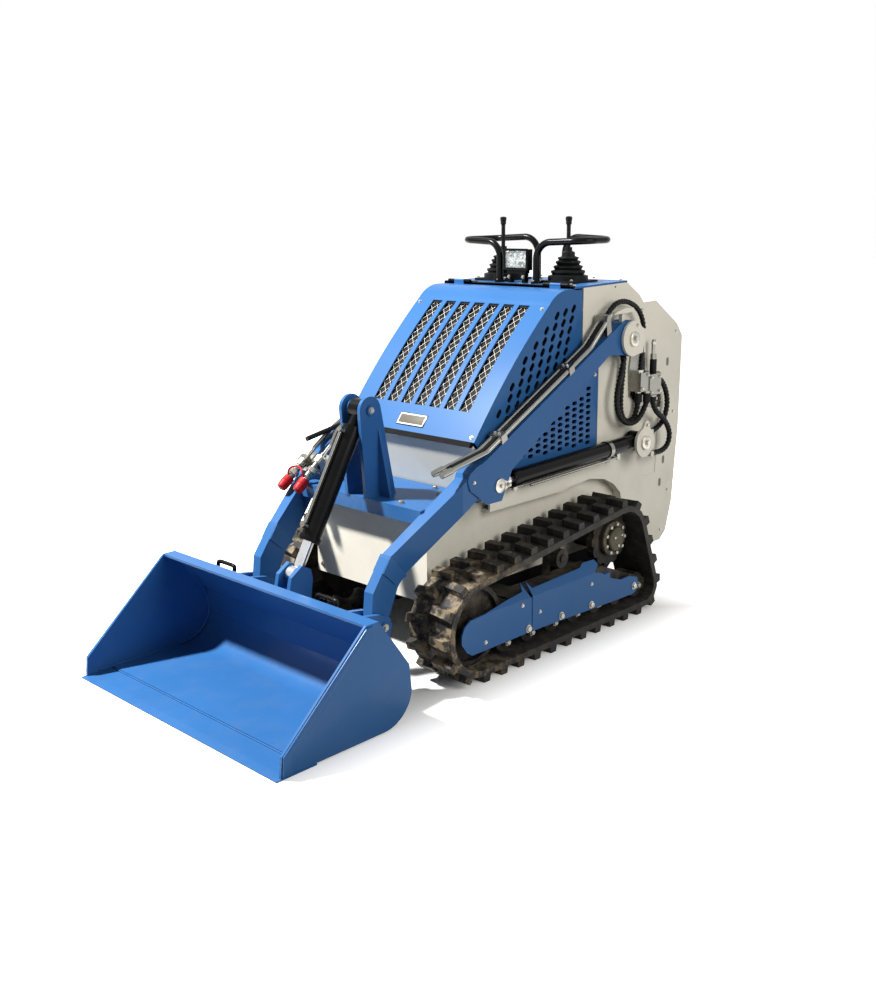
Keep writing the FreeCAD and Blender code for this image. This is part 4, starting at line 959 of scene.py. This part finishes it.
def cylinder_trim():
    """Round skins of the cylinders' barrels with their gland rings, and of the rods."""
    lift = (tube(34.5, 696, 27.6, 28.3), 697,
            [(0, 28.0), (0.5, 31), (30, 31), (32, 29), (34, 31), (38.6, 30), (38.9, 18.6),
             (37, 18.6)], 30, 82)
    tilt = (tube(66.5, 451, 33.6, 34.3), 455,
            [(0, 37.8), (0.5, 39.6), (12, 39.6), (13, 37.6), (15.6, 36), (16.2, 18.6),
             (15, 18.6), (14, 33)], 28, 147)
    rows = [("lift", "_" + side, place(sign * 355, *CYL_PIN), place(sign * 355, *ROD_PIN), lift)
            for side, sign in SIDES]
    rows.append(("tilt", "", place(0, *TILT_PIN), place(0, -997, 349), tilt))
    for kind, side, a, b, (skin, gland_at, gland, rod_low, rod_short) in rows:
        along = (b - a).normalized()
        reach = (b - a).length * 1000
        barrel, rod = bmesh.new(), bmesh.new()
        add_sleeve(barrel, a, along, skin)
        add_sleeve(barrel, a + along * mm(gland_at), along, gland)
        add_sleeve(rod, b, -along, tube(rod_low, reach - rod_short, 17.6, 18.06))
        add_piece(kind + "_barrel_skin" + side, closed_mesh(barrel), BLACK_GLOSS,
                  kind + "_barrel" + side)
        add_piece(kind + "_rod_skin" + side, closed_mesh(rod), FINISHES["chrome"],
                  kind + "_rod" + side)


def tread_tree():
    """Geometry nodes: raised lozenges in alternating directions over a grid."""
    graph, (points, length, width, height, finish) = start_tree(
        "tread lozenges", (("Points", "Geometry"), ("Length", "Float"), ("Width", "Float"),
                           ("Height", "Float"), ("Finish", "Material")))
    cone = graph.node("GeometryNodeMeshCone", inputs={
        "Vertices": 8, "Radius Top": 0.6, "Radius Bottom": 1.0, "Depth": 1.0})
    turn = (graph.node("GeometryNodeInputIndex").math("MODULO", 2.0) - 0.5) * 1.5708
    size = graph.node("ShaderNodeCombineXYZ", inputs={"X": length, "Y": width, "Z": height})
    placed = graph.node("GeometryNodeInstanceOnPoints", inputs={
        "Points": points, "Instance": cone, "Scale": size,
        "Rotation": graph.node("ShaderNodeCombineXYZ", inputs={"Z": turn})})
    return end_tree(graph, placed, finish)


def platform_tread():
    """Raised tread on the operator's platform."""
    columns, rows = 21, 13
    spots = [place(-250 + 500 * i / (columns - 1), 400 + 310 * j / (rows - 1), 276)
             for j in range(rows) for i in range(columns)]
    mesh = bpy.data.meshes.new("grid")
    mesh.from_pydata(spots, [], [])
    made = run_tree(tread_tree(), mesh, Length=mm(11), Width=mm(3.4), Height=mm(1.8),
                    Finish=FINISHES["black_steel"])
    add_piece("platform_tread", made, FINISHES["black_steel"], "chassis", 25.0)


def thigh_pad():
    """Foam pad behind the deck, full in its middle and stitched round its edge."""
    columns, rows, middle = 36, 20, 374.0
    work = bmesh.new()
    faces = []
    for face, stitched in ((354.4, False), (393.5, True)):
        grid = []
        for j in range(rows + 1):
            line = []
            for i in range(columns + 1):
                u, v = 2 * i / columns - 1, 2 * j / rows - 1
                edge = max(abs(u) ** 6, abs(v) ** 6)
                fall = (1 - abs(u) ** 7) * (1 - abs(v) ** 7)
                y = middle + (face - middle) * (0.52 + 0.48 * fall ** 0.45)
                if stitched:
                    inset = max(abs(u) * 230, abs(v) * 90 + 140) - 212
                    y -= 2.2 * math.exp(-(inset / 3.5) ** 2)
                line.append(work.verts.new(place(u * (229.5 - 2 * edge), y,
                                                 1030 + v * (89.5 - 2 * edge))))
            grid.append(line)
        faces.append(grid)
        for j in range(rows):
            for i in range(columns):
                quad = (grid[j][i], grid[j][i + 1], grid[j + 1][i + 1], grid[j + 1][i])
                work.faces.new(quad if stitched else quad[::-1])
    front, back = faces
    rim = [(0, i) for i in range(columns)] + [(j, columns) for j in range(rows)]
    rim += [(rows, i) for i in range(columns, 0, -1)] + [(j, 0) for j in range(rows, 0, -1)]
    for (j0, i0), (j1, i1) in zip(rim, rim[1:] + rim[:1]):
        work.faces.new((front[j0][i0], front[j1][i1], back[j1][i1], back[j0][i0]))
    pad = add_piece("thigh_cushion", closed_mesh(work), FINISHES["black_foam"], "chassis", 70.0)
    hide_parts("thigh_pad")


def belly_skirts():
    """Flat black skirts that hang from the body's lower edges beside the tracks; their black is
    painted shade, the dark under the body seen above the tracks.
    """
    work = bmesh.new()
    for sign in (1, -1):
        outline = [place(sign * 277.6, y, z) for y, z in
                   ((-640, 234), (-640, 170), (-590, 118), (330, 118), (372, 150), (372, 234))]
        add_slab(work, outline, sign * -3, 0, 0)
    # Flat black as painted shade under the body.
    add_piece("belly_skirts", closed_mesh(work), EXTRA["wire"], "chassis")


def body_trim():
    """Screws of the side, rear and front panels, and the blank plate at the rear."""
    rows = [(-392, 620), (170, 620), (170, 905)]
    bolts("vent_screws", "chassis", both_sides(rows, PANEL_OUT), 10, 4, 7, 14)
    rows = [(700, 1020), (700, 700), (680, 380), (460, 1120), (460, 240), (640, 220)]
    bolts("wing_screws", "chassis", both_sides(rows, PANEL_OUT), 11, 4, 7.5, 15)
    rows = [(x, 354, z, BACK) for x in (-280, -140, 0, 140, 280) for z in (560, 900, 1180)]
    bolts("rear_screws", "chassis", rows, 11, 4, 8, 16)
    work = bmesh.new()
    add_slab(work, [place(x, 354.2, z) for x, z in ((-70, 800), (70, 800), (70, 860), (-70, 860))],
             0, 1.5, 0)
    add_piece("data_plate", rounded(closed_mesh(work), 0.5), EXTRA["plate"], "chassis")
    rows = [(x, -673, z, FORWARD) for x in (-250, 250) for z in (260, 500)]
    bolts("belly_screws", "chassis", rows, 13, 5, 9, 17)


def wing_plugs():
    """Grey plugs, each with a flange behind, in the slots of the side wings; their grey is painted
    shade, the shaded inside of each slot.
    """
    work = bmesh.new()
    for sign in (1, -1):
        for z, y in ((905, 647), (511, 642), (421, 622)):
            for reach, radius, inner, thick in ((8, 9.1, 6, 4.4), (8, 13, 8, 2)):
                outline = []
                for k in range(24):
                    turn = 2 * math.pi * (k + 0.5) / 24
                    lift = reach if math.sin(turn) > 0 else -reach
                    outline.append(place(sign * (PANEL_OUT - inner), y + radius * math.cos(turn),
                                         z + lift + radius * math.sin(turn)))
                add_slab(work, outline, sign * thick, 0, 0)
    add_piece("wing_plugs", closed_mesh(work), EXTRA["plug"], "chassis")


guard_bolts()
drive_hubs()
pin_caps()
wing_plugs()
hood_screen()
hood_trim()
deck_trim()
lever_heads()
lamp_lens()
all_hoses()
fitting_trim()
coupler_caps()
arm_trim()
bucket_trim()
cylinder_trim()
platform_tread()
thigh_pad()
belly_skirts()
body_trim()


# ---- floor and light ----
def seen_directly(graph):
    """1 for rays that should meet the plain white surround: camera, mirror and glass rays."""
    camera, glossy, through = graph.outs(
        "ShaderNodeLightPath", ("Is Camera Ray", "Is Glossy Ray", "Is Transmission Ray"))
    return (camera + glossy + through).math("MINIMUM", 1.0)


def make_floor():
    """Pale floor; in the open it glows towards the camera, near the machine its shade shows."""
    bpy.ops.mesh.primitive_plane_add(size=60.0, location=(0, 0, -0.0005))
    floor = bpy.context.object
    floor.name = "floor"
    finish = Finish("pale floor", Roughness=0.9, Emission_Strength=1.0)
    direct = seen_directly(finish)
    x, y = finish.axes()[:2]
    aside = x.math("ABSOLUTE") - 0.5
    along = (y + 0.17).math("ABSOLUTE") - 0.93
    away = aside.math("MAXIMUM", along)
    glow = direct * away.step(-0.14, 0.24) * (away.step(0.4, 3.0) * 0.15 + 0.85)
    finish.set(Base_Color=finish.mix(direct, rgb("656565"), rgb("F2F2F0")),
               Emission_Color=finish.mix(glow, BLACK, WHITE))
    floor.data.materials.append(finish.material)


def make_world():
    """White surround that lights the machine faintly and shows bright behind it."""
    world = bpy.data.worlds.new("surround")
    bpy.context.scene.world = world
    world.use_nodes = True
    graph = Graph(world.node_tree)
    background = world.node_tree.nodes["Background"]
    graph.feed(background.inputs["Color"], WHITE)
    graph.feed(background.inputs["Strength"], seen_directly(graph) * 0.83 + 0.17)


def area_light(name, spot, size, power):
    """A warm round lamp aimed at the machine's middle."""
    data = bpy.data.lights.new(name, "AREA")
    data.shape = "DISK"
    data.size = size
    data.energy = power
    data.color = (1.0, 0.98, 0.94)
    light = bpy.data.objects.new(name, data)
    light.location = spot
    light.rotation_euler = (Vector((0, 0, 0.6)) - Vector(spot)).to_track_quat("-Z", "Y").to_euler()
    bpy.context.scene.collection.objects.link(light)


make_floor()
make_world()
area_light("key", (-3.17, -3.17, 6.2), 0.55, 1520.0)
area_light("fill", (4.2, 0.5, 2.6), 3.0, 110.0)

bpy.context.scene.view_settings.view_transform = "Standard"
